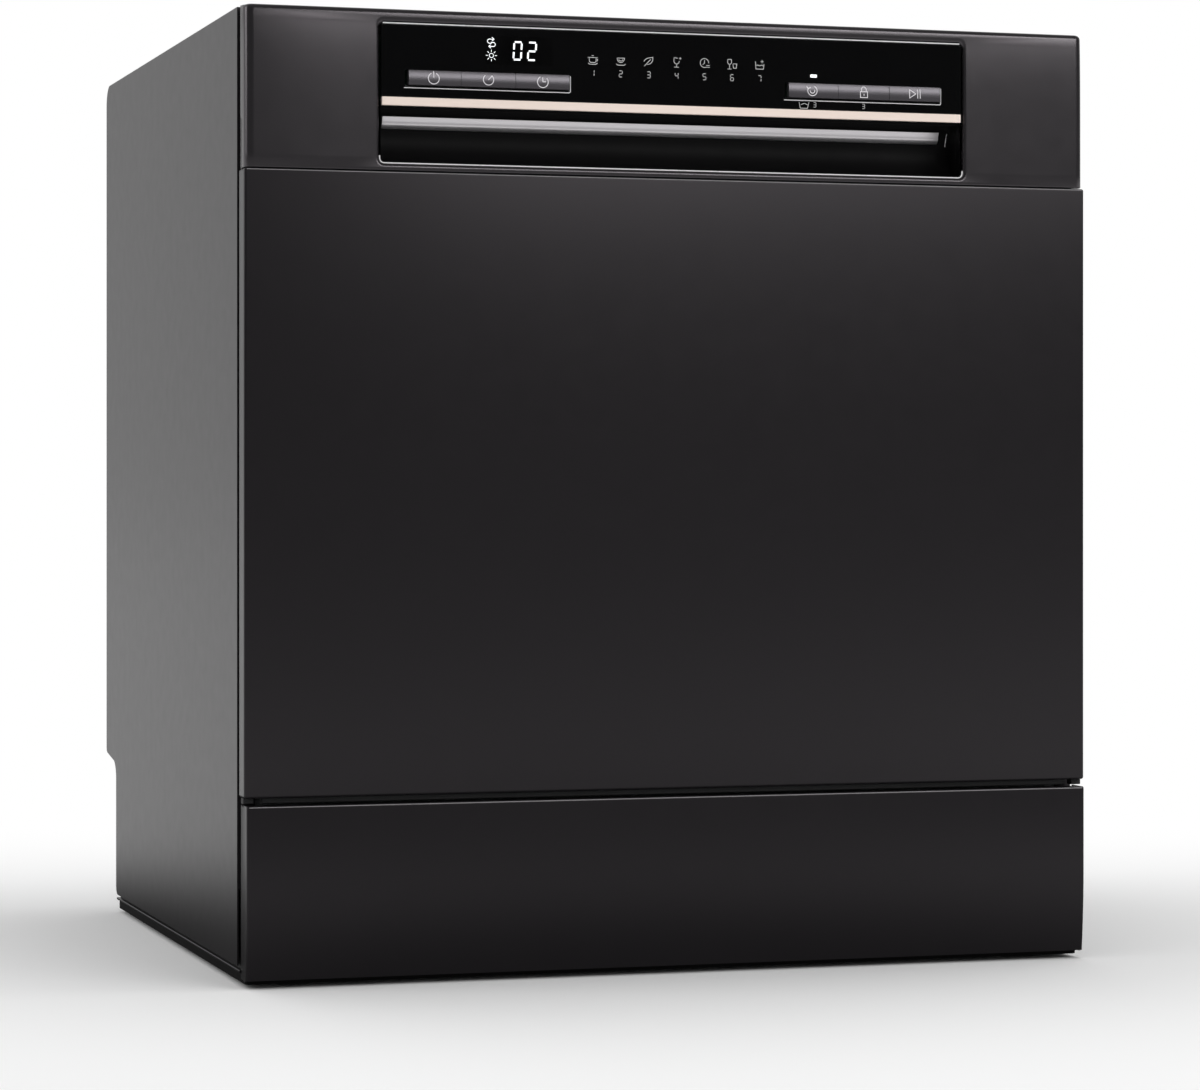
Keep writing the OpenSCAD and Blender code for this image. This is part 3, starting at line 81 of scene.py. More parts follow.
# %% Camera
LENS_MM = 113.39
CAMERA_PLACE = (-0.73406, -2.48617, 0.29751)
CAMERA_TURN = -16.962
CAMERA_SHIFT = -0.0404
SENSOR_MM = 36.0
camera_data = bpy.data.cameras.new("studio_camera")
camera_data.lens = LENS_MM
camera_data.sensor_width = SENSOR_MM
camera_data.shift_y = CAMERA_SHIFT
camera = bpy.data.objects.new("studio_camera", camera_data)
camera.location = CAMERA_PLACE
camera.rotation_euler = (math.radians(90), 0, math.radians(CAMERA_TURN))
scene.collection.objects.link(camera)
scene.camera = camera
scene.view_settings.view_transform = "Standard"
print("camera at", tuple(round(v, 3) for v in camera.location))

# %% [markdown]
# Shaders are graphs, and most of a graph is routine. This helper adds one node: a value that is a socket
# gets a link, any other value is set on the node's own input.

# %% Node helper


def add_node(tree, kind, inputs=None, **settings):
    """Adds a shader node, sets its inputs or links them, and returns it."""
    node = tree.nodes.new(kind)
    for key, value in settings.items():
        setattr(node, key, value)
    for key, value in (inputs or {}).items():
        if isinstance(value, bpy.types.NodeSocket):
            tree.links.new(value, node.inputs[key])
        else:
            node.inputs[key].default_value = value
    return node


def new_tree(owner):
    """Empties the node tree of a material or world and returns it."""
    owner.use_nodes = True
    owner.node_tree.nodes.clear()
    return owner.node_tree


# %% [markdown]
# The world is white to the camera. To reflections it is white behind the machine and dark in front of it,
# like a studio with a sweep. To everything else it is an even, plain light.

# %% World
WORLD_LEVEL = 0.62
ROOM_DARK = 0.03
SWEEP_WHITE = 0.60
CEILING = 0.1
SWEEP_SPAN = (-0.15, 0.75)
CEILING_SPAN = (0.3, 0.95)


def ray_kinds(tree):
    """Two sockets: 1 for rays from the camera or through clear things, and 1 for reflected rays."""
    path = add_node(tree, "ShaderNodeLightPath")
    seen = {0: path.outputs["Is Camera Ray"], 1: path.outputs["Is Transmission Ray"]}
    eyes = add_node(tree, "ShaderNodeMath", seen, operation="MAXIMUM").outputs[0]
    return eyes, path.outputs["Is Glossy Ray"]


def eased(tree, value, span, low, high, kind="SMOOTHSTEP"):
    """Runs from low to high while a value crosses a span, softly unless asked otherwise."""
    inputs = {"Value": value, "From Min": span[0], "From Max": span[1], "To Min": low, "To Max": high}
    return add_node(tree, "ShaderNodeMapRange", inputs, interpolation_type=kind).outputs[0]


world = bpy.data.worlds.new("studio_world")
scene.world = world
tree = new_tree(world)
eyes, glossy = ray_kinds(tree)
direction = add_node(tree, "ShaderNodeTexCoord").outputs["Generated"]
split = add_node(tree, "ShaderNodeSeparateXYZ", {0: direction})
sweep = eased(tree, split.outputs["Y"], SWEEP_SPAN, ROOM_DARK, SWEEP_WHITE)
ceiling = eased(tree, split.outputs["Z"], CEILING_SPAN, 0.0, CEILING)
sweep = add_node(tree, "ShaderNodeMath", {0: sweep, 1: ceiling}, operation="MAXIMUM").outputs[0]
level = add_node(tree, "ShaderNodeMix", {0: glossy, 2: WORLD_LEVEL, 3: sweep}, data_type="FLOAT").outputs[0]
level = add_node(tree, "ShaderNodeMix", {0: eyes, 2: level, 3: 1.0}, data_type="FLOAT").outputs[0]
background = add_node(tree, "ShaderNodeBackground", {"Color": (1, 1, 1, 1), "Strength": level})
output = add_node(tree, "ShaderNodeOutputWorld")
tree.links.new(background.outputs[0], output.inputs["Surface"])
print("world level", WORLD_LEVEL)

# %% [markdown]
# The floor is matt and pale, so that it takes the machine's soft shadow. Behind the machine it fades into
# white light, as a sweep does, and no horizon shows.

# %% Floor
FLOOR_COLOUR = (0.90, 0.90, 0.90, 1)
FADE_SPAN = (0.0, 0.85)
FLOOR_GLARE = 0.75
GLARE_SPAN = (-1.6, -0.8)
DIM_FLOOR = 0.22
SHADOW_SPAN = (0.30, 0.88)
SHADOW_DARK = 0.06
look_x = math.sin(math.radians(-CAMERA_TURN))
look_y = math.cos(math.radians(-CAMERA_TURN))
floor_material = bpy.data.materials.new("floor_paper")
tree = new_tree(floor_material)
eyes, glossy = ray_kinds(tree)
place = add_node(tree, "ShaderNodeTexCoord").outputs["Object"]
along = add_node(
    tree, "ShaderNodeVectorMath", {0: place, 1: (look_x, look_y, 0)}, operation="DOT_PRODUCT"
).outputs["Value"]
fade = eased(tree, along, FADE_SPAN, 0.0, 1.0, "SMOOTHERSTEP")
mirrored = eased(tree, along, GLARE_SPAN, DIM_FLOOR, FLOOR_GLARE)
# To reflections the floor is a glow, and near the machine that glow is darkened: a painted contact shadow,
# since a glow takes no real shadow.
reach = add_node(tree, "ShaderNodeVectorMath", {0: place}, operation="LENGTH").outputs["Value"]
painted_contact_shadow = eased(tree, reach, SHADOW_SPAN, SHADOW_DARK, 1.0)
mirrored = add_node(tree, "ShaderNodeMath", {0: mirrored, 1: painted_contact_shadow}, operation="MULTIPLY").outputs[0]
fade = add_node(tree, "ShaderNodeMath", {0: fade, 1: eyes}, operation="MULTIPLY").outputs[0]
fade = add_node(tree, "ShaderNodeMath", {0: fade, 1: glossy}, operation="MAXIMUM").outputs[0]
strength = add_node(tree, "ShaderNodeMix", {0: glossy, 2: 1.0, 3: mirrored}, data_type="FLOAT").outputs[0]
paper = add_node(tree, "ShaderNodeBsdfDiffuse", {"Color": FLOOR_COLOUR})
glow = add_node(tree, "ShaderNodeEmission", {"Color": (1, 1, 1, 1), "Strength": strength})
mixed = add_node(tree, "ShaderNodeMixShader", {0: fade, 1: paper.outputs[0], 2: glow.outputs[0]})
output = add_node(tree, "ShaderNodeOutputMaterial")
tree.links.new(mixed.outputs[0], output.inputs["Surface"])

FLOOR_REACH = 30.0
floor_corners = [(x * FLOOR_REACH, y * FLOOR_REACH, 0) for x, y in ((-1, -1), (1, -1), (1, 1), (-1, 1))]
floor_mesh = bpy.data.meshes.new("floor")
floor_mesh.from_pydata(floor_corners, [], [(0, 1, 2, 3)])
floor_mesh.materials.append(floor_material)
floor = bpy.data.objects.new("floor", floor_mesh)
scene.collection.objects.link(floor)
print("floor fades over", FADE_SPAN[1] - FADE_SPAN[0], "m")

# %% [markdown]
# Three soft boxes light the machine. A broad one hangs in front, high enough that the flat faces mirror
# only its lower edge: its light fades down the fascia and the door. A long one overhead lights the upper
# faces but is hidden from reflections, and a weak one lifts the left side.

# %% Lamps
TARGET = Vector((0, 0, 0.3))


def soft_box(name, place, width, height, watts):
    """A rectangular area lamp at a place, turned towards the machine and unseen by the camera."""
    lamp = bpy.data.lights.new(name, "AREA")
    lamp.shape = "RECTANGLE"
    lamp.size = width
    lamp.size_y = height
    lamp.energy = watts
    holder = bpy.data.objects.new(name, lamp)
    holder.location = place
    holder.rotation_euler = (TARGET - Vector(place)).to_track_quat("-Z", "Y").to_euler()
    holder.visible_camera = False
    scene.collection.objects.link(holder)
    return holder


soft_box("front_box", (0.97, -2.1, 1.34), 1.8, 0.36, 14.2)
top_box = soft_box("top_box", (0.1, 0.15, 2.0), 2.0, 0.9, 15)
top_box.visible_glossy = False
soft_box("left_box", (-2.2, 0.1, 1.3), 0.9, 1.2, 9)

# %% [markdown]
# ## Finishes
# Nothing on a real machine is one flat colour. Paint has a fine peel, moulded plastic a spark-eroded
# grain, drawn steel a nap that runs one way. Every finish below is built by one recipe from the place of a
# point in metres, so that its grain has a true scale on every part: a broad mottle in the colour, a cloud
# in the gloss and a fine relief.

# %% Finish recipe
finishes = {}
MOTTLE_SIZE = 0.06
GLOSS_SIZE = 0.012
CLOUD_SPAN = (0.25, 0.75)
CLOUD_DETAIL = 3.0
BUMP_STRENGTH = 0.5
EDGE_SAMPLES = 4
EVEN = (1, 1, 1)


def grain(tree, place, size, stretch=EVEN):
    """A cloud of noise with features about size metres across, stretched along an axis if asked."""
    scaled = add_node(tree, "ShaderNodeVectorMath", {0: place, 1: stretch}, operation="MULTIPLY").outputs[0]
    inputs = {"Vector": scaled, "Scale": 1 / size, "Detail": CLOUD_DETAIL}
    return add_node(tree, "ShaderNodeTexNoise", inputs).outputs[0]


def spread(tree, value, low, high):
    """Maps a cloud to a range about its middle."""
    return eased(tree, value, CLOUD_SPAN, low, high, "LINEAR")


def finish(
    slot,
    colour,
    rough,
    mottle,
    relief,
    metal=0.0,
    peel=0.0008,
    stretch=EVEN,
    gloss=0.06,
    edge=0.0003,
    **own,
):
    """A material: a mottled colour, a clouded gloss, a fine relief and edges that catch the light."""
    material = bpy.data.materials.new(slot + "_finish")
    tree = new_tree(material)
    place = add_node(tree, "ShaderNodeTexCoord").outputs["Object"]
    cloud = grain(tree, place, MOTTLE_SIZE, stretch)
    fine = grain(tree, place, peel, stretch)
    shade = spread(tree, cloud, 1 - mottle, 1 + mottle)
    speck = spread(tree, fine, 1 - mottle, 1 + mottle)
    tone = add_node(tree, "ShaderNodeMath", {0: shade, 1: speck}, operation="MULTIPLY").outputs[0]
    tint = {0: colour, "Scale": tone}
    painted = add_node(tree, "ShaderNodeVectorMath", tint, operation="SCALE").outputs[0]
    gloss_cloud = spread(tree, grain(tree, place, GLOSS_SIZE, stretch), rough - gloss, rough + gloss)
    inputs = {"Base Color": painted, "Roughness": gloss_cloud, "Metallic": metal}
    bump = {"Height": fine, "Strength": BUMP_STRENGTH, "Distance": relief}
    if edge:
        rounded = add_node(tree, "ShaderNodeBevel", {"Radius": edge}, samples=EDGE_SAMPLES)
        bump["Normal"] = rounded.outputs[0]
    inputs["Normal"] = add_node(tree, "ShaderNodeBump", bump).outputs[0]
    shader = add_node(tree, "ShaderNodeBsdfPrincipled", {**inputs, **own})
    output = add_node(tree, "ShaderNodeOutputMaterial")
    tree.links.new(shader.outputs[0], output.inputs["Surface"])
    finishes[slot] = material
    return material


# %% [markdown]
# The shell is steel with a satin charcoal coat, the fascia a slightly paler moulding with the same coat,
# and the window black glass. The strip is champagne anodised metal, and the keys are satin metal too.

# %% Outer finishes
VIOLET = (1.0, 0.93, 0.98, 1)
FINE_COAT = {"mottle": 0.02, "relief": 0.0000015, "gloss": 0.012}
BRUSHED = (0.05, 1, 1)
finish(
    "charcoal_steel",
    (0.0108, 0.0099, 0.0110),
    0.30,
    peel=0.0006,
    **FINE_COAT,
    **{"Specular Tint": VIOLET, "Specular IOR Level": 0.38},
)
finish(
    "fascia_graphite",
    (0.0150, 0.0140, 0.0154),
    0.25,
    peel=0.0005,
    **FINE_COAT,
    **{"Specular Tint": VIOLET, "Specular IOR Level": 0.97},
)
finish("black_glass", (0.0022, 0.0022, 0.0024), 0.06, mottle=0.1, relief=0.0000005, gloss=0.02)
finish(
    "pocket_black",
    (0.0040, 0.0038, 0.0041),
    0.55,
    mottle=0.05,
    relief=0.000002,
    gloss=0.03,
    **{"Specular IOR Level": 0.12},
)
finish(
    "champagne_trim",
    (0.90, 0.765, 0.682),
    0.34,
    mottle=0.012,
    relief=0.000002,
    metal=0.1,
    peel=0.0004,
    stretch=(0.03, 1, 1),
    gloss=0.02,
)
finish(
    "key_metal",
    (0.088, 0.082, 0.091),
    0.24,
    mottle=0.02,
    relief=0.000001,
    metal=0.6,
    peel=0.0003,
    stretch=BRUSHED,
    gloss=0.02,
)
finish(
    "rail_metal",
    (0.95, 0.92, 0.95),
    0.34,
    mottle=0.02,
    relief=0.000003,
    metal=0.85,
    peel=0.0003,
    stretch=BRUSHED,
    gloss=0.03,
)
# The two pale finishes below paint highlights on thin rods along edges that catch the light.
finish("highlight_paint", (0.90, 0.89, 0.90), 0.30, metal=0.2, mottle=0.03, relief=0.000001, edge=0)
finish("painted_highlight_grey", (0.29, 0.28, 0.29), 0.40, metal=0.2, mottle=0.04, relief=0.000001, edge=0)
print("outer finishes:", sorted(finishes))

# %% [markdown]
# Inside, stainless steel is drawn and brushed, galvanised steel is spangled, rubber is matt, wire is dipped
# in soft vinyl, and the wash parts are moulded in greys with a fine grain.

# %% Inner finishes
finish(
    "stainless",
    (0.64, 0.64, 0.63),
    0.31,
    mottle=0.025,
    relief=0.000004,
    metal=1.0,
    peel=0.0003,
    stretch=BRUSHED,
    gloss=0.012,
)
finish(
    "galvanised",
    (0.46, 0.47, 0.48),
    0.42,
    mottle=0.11,
    relief=0.000006,
    metal=0.9,
    peel=0.006,
    gloss=0.08,
)
finish("spring_steel", (0.55, 0.56, 0.57), 0.28, metal=1.0, mottle=0.06, relief=0.000006)
finish("seal_rubber", (0.018, 0.018, 0.019), 0.62, mottle=0.12, relief=0.00002)
finish("base_plastic", (0.020, 0.020, 0.021), 0.50, mottle=0.08, relief=0.00003)
finish("duct_plastic", (0.075, 0.080, 0.086), 0.44, mottle=0.06, relief=0.00002)
finish("white_plastic", (0.74, 0.74, 0.71), 0.42, mottle=0.03, relief=0.00002)
finish("dispenser_grey", (0.55, 0.56, 0.56), 0.40, mottle=0.03, relief=0.00002)
finish("arm_grey", (0.062, 0.067, 0.073), 0.40, mottle=0.06, relief=0.00002)
finish("filter_mesh", (0.33, 0.34, 0.35), 0.36, metal=0.8, mottle=0.10, peel=0.0012, relief=0.0002)
finish("rack_vinyl", (0.150, 0.158, 0.168), 0.36, mottle=0.06, relief=0.00001)
finish("cap_blue", (0.075, 0.26, 0.56), 0.36, mottle=0.04, relief=0.00002)
finish("board_green", (0.012, 0.085, 0.035), 0.34, mottle=0.14, relief=0.00002)
print(len(finishes), "finishes")

# %% [markdown]
# The pieces that need no finer mesh are carried over as they are. Each already says what it is made of, in
# its slot, so it can take the finish of that name.

# %% Dress the carried-over nodes
for name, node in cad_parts.items():
    slot_name = node.data.materials[0].name
    node.data.materials[0] = finishes[slot_name]
print("dressed", len(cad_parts), "nodes")

# %% [markdown]
# ## Tools for sheet and mouldings
# Most parts of a machine like this begin as an outline: a row of corners, each with its own radius. One
# function turns the corners into points, another draws the outline out along an axis into a closed solid,
# and a bevel modifier breaks the sharp edges so that they catch a line of light.

# %% Outline helpers


def outline(corners, steps):
    """Points of a closed outline through (u, v, radius) corners, each rounded with its own radius."""
    points = []
    for i, (u, v, r) in enumerate(corners):
        here = Vector((u, v))
        if r <= 0:
            points.append(here)
            continue
        before = (Vector(corners[i - 1][:2]) - here).normalized()
        after = (Vector(corners[(i + 1) % len(corners)][:2]) - here).normalized()
        half = before.angle(after) / 2
        centre = here + (before + after).normalized() * (r / math.sin(half))
        start = here + before * (r / math.tan(half)) - centre
        end = here + after * (r / math.tan(half)) - centre
        first = math.atan2(start.y, start.x)
        turn = (math.atan2(end.y, end.x) - first + math.pi) % (2 * math.pi) - math.pi
        for k in range(steps + 1):
            a = first + turn * k / steps
            points.append(centre + r * Vector((math.cos(a), math.sin(a))))
    return points


def oblong(u0, u1, v0, v1, r, steps):
    """Outline of a rectangle with four equal round corners."""
    return outline([(u0, v0, r), (u1, v0, r), (u1, v1, r), (u0, v1, r)], steps)


ALONG = {
    "x": lambda u, v, w: (w, u, v),
    "y": lambda u, v, w: (u, w, v),
    "z": lambda u, v, w: (u, v, w),
}


def add_object(name, mesh, slot_name, body, angle=35):
    """Puts a mesh in the scene with its finish, smooth but for sharp edges, riding on a body."""
    mesh.materials.append(finishes[slot_name])
    mesh.shade_smooth()
    mesh.set_sharp_from_angle(angle=math.radians(angle))
    piece = bpy.data.objects.new(name, mesh)
    scene.collection.objects.link(piece)
    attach(piece, body)
    return piece


def as_mesh(form, name):
    """Turns the working form into a mesh and lets the form go."""
    mesh = bpy.data.meshes.new(name)
    form.to_mesh(mesh)
    form.free()
    return mesh


def stitch(form, last, ring, closed=True):
    """Joins two rings of points, or two open rows, with a band of faces."""
    count = len(ring)
    for i in range(count if closed else count - 1):
        j = (i + 1) % count
        form.faces.new((last[i], last[j], ring[j], ring[i]))


def drawn_out(points, axis, low, high):
    """A closed mesh: the outline drawn out along an axis from low to high."""
    form = bmesh.new()
    rings = []
    for w in (low, high):
        rings.append([form.verts.new(ALONG[axis](p[0], p[1], w)) for p in points])
    form.faces.new(rings[0])
    form.faces.new(list(reversed(rings[1])))
    count = len(points)
    for i in range(count):
        j = (i + 1) % count
        form.faces.new((rings[0][j], rings[0][i], rings[1][i], rings[1][j]))
    bmesh.ops.recalc_face_normals(form, faces=form.faces)
    return as_mesh(form, "form")


def soften(piece, width, segments, angle=40):
    """Breaks a piece's edges with a small round."""
    bevel = piece.modifiers.new("edge_break", "BEVEL")
    bevel.width = width
    bevel.segments = segments
    bevel.limit_method = "ANGLE"
    bevel.angle_limit = math.radians(angle)
    bevel.harden_normals = True


def bake(piece):
    """Turns a piece's modifiers into its mesh."""
    graph = bpy.context.evaluated_depsgraph_get()
    mesh = bpy.data.meshes.new_from_object(piece.evaluated_get(graph))
    piece.modifiers.clear()
    piece.data = mesh


def carve(piece, cutters):
    """Cuts other meshes out of a piece."""
    for mesh in cutters:
        tool = bpy.data.objects.new("cutter", mesh)
        scene.collection.objects.link(tool)
        cut = piece.modifiers.new("cut", "BOOLEAN")
        cut.operation = "DIFFERENCE"
        cut.solver = "EXACT"
        cut.object = tool
        bake(piece)
        bpy.data.objects.remove(tool)


def block(x, d, z):
    """A plain block to cut with, between limits in millimetres: x, depth behind the door face, z."""
    (x0, x1), (z0, z1) = [(a * MM, b * MM) for a, b in (x, z)]
    return drawn_out([(x0, z0), (x1, z0), (x1, z1), (x0, z1)], "y", depth(d[0]), depth(d[1]))


def plain_box(low, high):
    """A working form of a box between two corners."""
    form = bmesh.new()
    bmesh.ops.create_cube(form, size=1.0)
    placing = Matrix.Translation((low + high) / 2) @ Matrix.Diagonal((*(high - low), 1))
    bmesh.ops.transform(form, matrix=placing, verts=form.verts)
    return form


print("helpers ready")

# %% [markdown]
# ## The door's outer panel
# On the real door this is one sheet, a millimetre thick, folded back on all four sides with a tight bend.
# The mesh is made the same way: a face and four flanges with nothing behind, the bends rounded, then the
# sheet is given its thickness inwards.

# %% Folded panel
SHEET = 1.0 * MM
BEND = 1.5 * MM
BEND_STEPS = 5


def folded_panel(name, low, high, body):
    """A sheet folded back on four sides, open at the rear."""
    form = plain_box(low, high)
    form.normal_update()
    rear = [f for f in form.faces if f.normal.y > 0.9]
    bmesh.ops.delete(form, geom=rear, context="FACES_ONLY")
    bends = [e for e in form.edges if len(e.link_faces) == 2]
    bmesh.ops.bevel(form, geom=bends, offset=BEND, segments=BEND_STEPS, profile=0.5, affect="EDGES")
    piece = add_object(name, as_mesh(form, name), "charcoal_steel", body)
    wall = piece.modifiers.new("sheet", "SOLIDIFY")
    wall.thickness = SHEET
    wall.offset = -1
    wall.use_even_offset = True
    return piece


door_skin = folded_panel("door_skin", door_low, door_high, "door")
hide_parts("door_outer_panel")
print(door_skin.name, "faces", len(door_skin.data.polygons))

# %% [markdown]
# The two hinge arms reach forward under the door and hold its pins. As the door comes down, its lower fold
# would strike them, so the fold has a slot for each arm.

# %% Slots for the hinge arms
ARM_SLOT_X = (263.2, 268.2)
ARM_SLOT_D = (1.6, 30)
ARM_SLOT_REACH = (1, 1.4)
door_foot = door_low.z / MM
slot_z = (door_foot - ARM_SLOT_REACH[0], door_foot + ARM_SLOT_REACH[1])
arm_slots = []
for side in (-1, 1):
    across = sorted(side * x for x in ARM_SLOT_X)
    arm_slots.append(block(across, ARM_SLOT_D, slot_z))
carve(door_skin, arm_slots)
print("slots in the lower fold:", len(arm_slots))

# %% [markdown]
# A rubber lip under the lower fold closes the gap to the kick plate. It is deep enough to hide what lies
# behind and short enough to swing clear of the plate as the door turns about its pins.

# %% Door lip
LIP_D = (5, 12)
LIP_Z = (111.75, door_foot)
LIP_CLEAR = 0.2
LIP_ROUND = 0.8
LIP_X = (ARM_SLOT_X[1] + LIP_CLEAR, HALF_W / MM - 2 * LIP_CLEAR)
middle_end = ARM_SLOT_X[0] - LIP_CLEAR
lip_spans = [(-middle_end, middle_end), LIP_X, (-LIP_X[1], -LIP_X[0])]
for name, (x0, x1) in zip(("door_lip", "right_door_lip", "left_door_lip"), lip_spans):
    bar = oblong(depth(LIP_D[0]), depth(LIP_D[1]), LIP_Z[0] * MM, LIP_Z[1] * MM, LIP_ROUND * MM, 3)
    add_object(name, drawn_out(bar, "x", x0 * MM, x1 * MM), "seal_rubber", "door", 50)
print("lip hangs", round(LIP_Z[1] - LIP_Z[0], 2), "mm under the door")

# %% [markdown]
# ## The kick plate
# The plate under the door stands a little proud of it and sweeps back towards the floor in a gentle curve.
# Its section is drawn once, bends and all, and drawn out along the width. The ends are folded back like the
# door's.

# %% Kick plate
kick_low, kick_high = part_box("kick_plate")
KICK_SWEEP_Z = 60 * MM
KICK_PROUD = FACE_Y - kick_low.y
KICK_LIP = 9 * MM
KICK_FOOT = 3.5 * MM
KICK_FLANGE = 15 * MM
SWEEP_STEPS = 16
WELD = 0.02 * MM


def kick_section():
    """Depth and height along the plate's face, from its upper lip down to its foot."""
    line = [(kick_low.y + KICK_LIP, kick_high.z)]
    for k in range(BEND_STEPS + 1):
        a = math.radians(90 + 90 * k / BEND_STEPS)
        line.append((kick_low.y + BEND + BEND * math.cos(a), kick_high.z - BEND + BEND * math.sin(a)))
    for k in range(SWEEP_STEPS + 1):
        t = k / SWEEP_STEPS
        line.append((kick_low.y + KICK_PROUD * t * t, KICK_SWEEP_Z + (kick_low.z - KICK_SWEEP_Z) * t))
    line.append((FACE_Y + KICK_FOOT, kick_low.z))
    return line


def kick_plate():
    """The swept sheet with its two end flanges."""
    form = bmesh.new()
    section = kick_section()
    inner = kick_high.x - BEND
    rings = []
    for x in (-inner, inner):
        rings.append([form.verts.new((x, y, z)) for y, z in section])
    stitch(form, *rings, closed=False)
    flange_y = FACE_Y + KICK_FLANGE
    for side, ring in ((-1, rings[0]), (1, rings[1])):
        last = ring
        for k in range(1, BEND_STEPS + 1):
            a = math.radians(90 * k / BEND_STEPS)
            out = side * (inner + BEND * math.sin(a))
            back = BEND * (1 - math.cos(a))
            now = [form.verts.new((out, min(y + back, flange_y), z)) for y, z in section]
            stitch(form, last, now, closed=False)
            last = now
        rear = [form.verts.new((side * kick_high.x, flange_y, z)) for y, z in section]
        stitch(form, last, rear, closed=False)
    bmesh.ops.remove_doubles(form, verts=form.verts, dist=WELD)
    bmesh.ops.recalc_face_normals(form, faces=form.faces)
    if sum(f.normal.y for f in form.faces if abs(f.normal.y) > 0.9) > 0:
        bmesh.ops.reverse_faces(form, faces=form.faces)
    return as_mesh(form, "kick_skin")


kick_skin = add_object("kick_skin", kick_plate(), "charcoal_steel", "cabinet")
wall = kick_skin.modifiers.new("sheet", "SOLIDIFY")
wall.thickness = SHEET
wall.offset = -1
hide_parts("kick_plate")
print(kick_skin.name, "faces", len(kick_skin.data.polygons))

# %% [markdown]
# Folded steel catches a fine line of light along a bend. A thin rod of a paler finish, let into the middle
# of the bend, paints that highlight on the upper edges of the door and of the kick plate.

# %% Painted highlight lines
SEAM_R = 0.28 * MM
SEAM_IN = 0.25 * MM
SEAM_DROP = 0.72 * MM
SEAM_SIDES = 10


def painted_highlight_line(name, low, high, body):
    """A painted highlight: a thin pale line along the upper bend of a folded sheet."""
    y, z = low.y + SEAM_IN, high.z - SEAM_DROP
    angles = [math.tau * k / SEAM_SIDES for k in range(SEAM_SIDES)]
    section = [(y + SEAM_R * math.cos(a), z + SEAM_R * math.sin(a)) for a in angles]
    form = drawn_out(section, "x", low.x + BEND, high.x - BEND)
    line = add_object(name, form, "charcoal_steel", body, 60)
    line.data.materials[0] = finishes["painted_highlight_grey"]


painted_highlight_line("door_seam", door_low, door_high, "door")
painted_highlight_line("kick_seam", kick_low, kick_high, "cabinet")
print("seam lines of radius", round(SEAM_R / MM, 2), "mm")

# %% [markdown]
# ## Under the machine
# The base tray ends in a narrow rim that runs below the side panels, and a black skirt hangs from it to
# just above the worktop: painted shade for the dark gap under the machine.

# %% Base rims and skirt
RIM_Z = (8.7, 10.3)
RIM_X = (271.5, 274.8)
RIM_D = (16, 454)
RIM_ROUND = 0.4 * MM
SKIRT_Z = (2.4, 8.4)
SKIRT_X, SKIRT_FRONT, SKIRT_T = 272.9, 6.2, 2.2
for name, side in (("left_base_rim", -1), ("right_base_rim", 1)):
    u0, u1 = sorted((side * RIM_X[0] * MM, side * RIM_X[1] * MM))
    section = oblong(u0, u1, RIM_Z[0] * MM, RIM_Z[1] * MM, RIM_ROUND, 3)
    rim = drawn_out(section, "y", depth(RIM_D[0]), depth(RIM_D[1]))
    add_object(name, rim, "charcoal_steel", "cabinet", 50)
inner_x, inner_front, rear = SKIRT_X - SKIRT_T, SKIRT_FRONT + SKIRT_T, RIM_D[1]
band = [(-SKIRT_X, rear, 0), (-SKIRT_X, SKIRT_FRONT, 4), (SKIRT_X, SKIRT_FRONT, 4), (SKIRT_X, rear, 0)]
band += [(inner_x, rear, 0), (inner_x, inner_front, 2), (-inner_x, inner_front, 2), (-inner_x, rear, 0)]
skirt = outline([(u * MM, depth(d), r * MM) for u, d, r in band], 5)
skirt_form = drawn_out(skirt, "z", SKIRT_Z[0] * MM, SKIRT_Z[1] * MM)
# The skirt is black to paint the shade in the gap under the machine.
base_shade_skirt = add_object("base_shade_skirt", skirt_form, "pocket_black", "cabinet")
soften(base_shade_skirt, RIM_ROUND, 2)
print("skirt hangs to", SKIRT_Z[0], "mm above the worktop")

# %% [markdown]
# ## The fascia
# A moulding that sits on top of the door: both ends have a soft round, the top a tighter one, and one long
# opening holds the black window, the metal strip and the finger pocket. The block is rounded first, and the
# opening is cut with a tool that flares towards the front, so that its rim rolls in, gently along its upper
# side. Last, the face is cut into bands that fall back a little towards the top.

# %% Control fascia
FASCIA_ROUND = 5.5 * MM
TOP_ROUND = 3.0 * MM
FASCIA_WALL = 2.5 * MM
FASCIA_FRONT = 3.2 * MM
FASCIA_FOOT = 1.6 * MM
HOLLOW_ROUND = 3 * MM
OPEN_X = 191.5 * MM
OPEN_LOW = 500.7 * MM
OPEN_HIGH = 586.0 * MM
OPEN_ROUND = 3.0 * MM
RIM_FLARE = 2.4 * MM
BROW_FLARE = 4.2 * MM
EDGE_ROUND = 0.5 * MM
ROUND_STEPS = 8
CUT_PAST = 5 * MM


def flared_opening(x, low, high, corner, flare, brow):
    """A cutter for an opening whose rim rolls in with a quarter round, wider along its upper side."""
    profile = [(1, -CUT_PAST)]
    for k in range(8):
        a = math.radians(90 * k / 7)
        profile.append((1 - math.sin(a), flare * (1 - math.cos(a))))
    profile.append((0, CUT_PAST))
    form = bmesh.new()
    last = None
    for share, into in profile:
        grow = flare * share
        points = oblong(-x - grow, x + grow, low - grow, high + brow * share, corner + grow, 6)
        ring = [form.verts.new((u, FACE_Y + into, v)) for u, v in points]
        if last:
            stitch(form, last, ring)
        else:
            form.faces.new(ring)
        last = ring
    form.faces.new(list(reversed(last)))
    bmesh.ops.recalc_face_normals(form, faces=form.faces)
    return as_mesh(form, "opening")


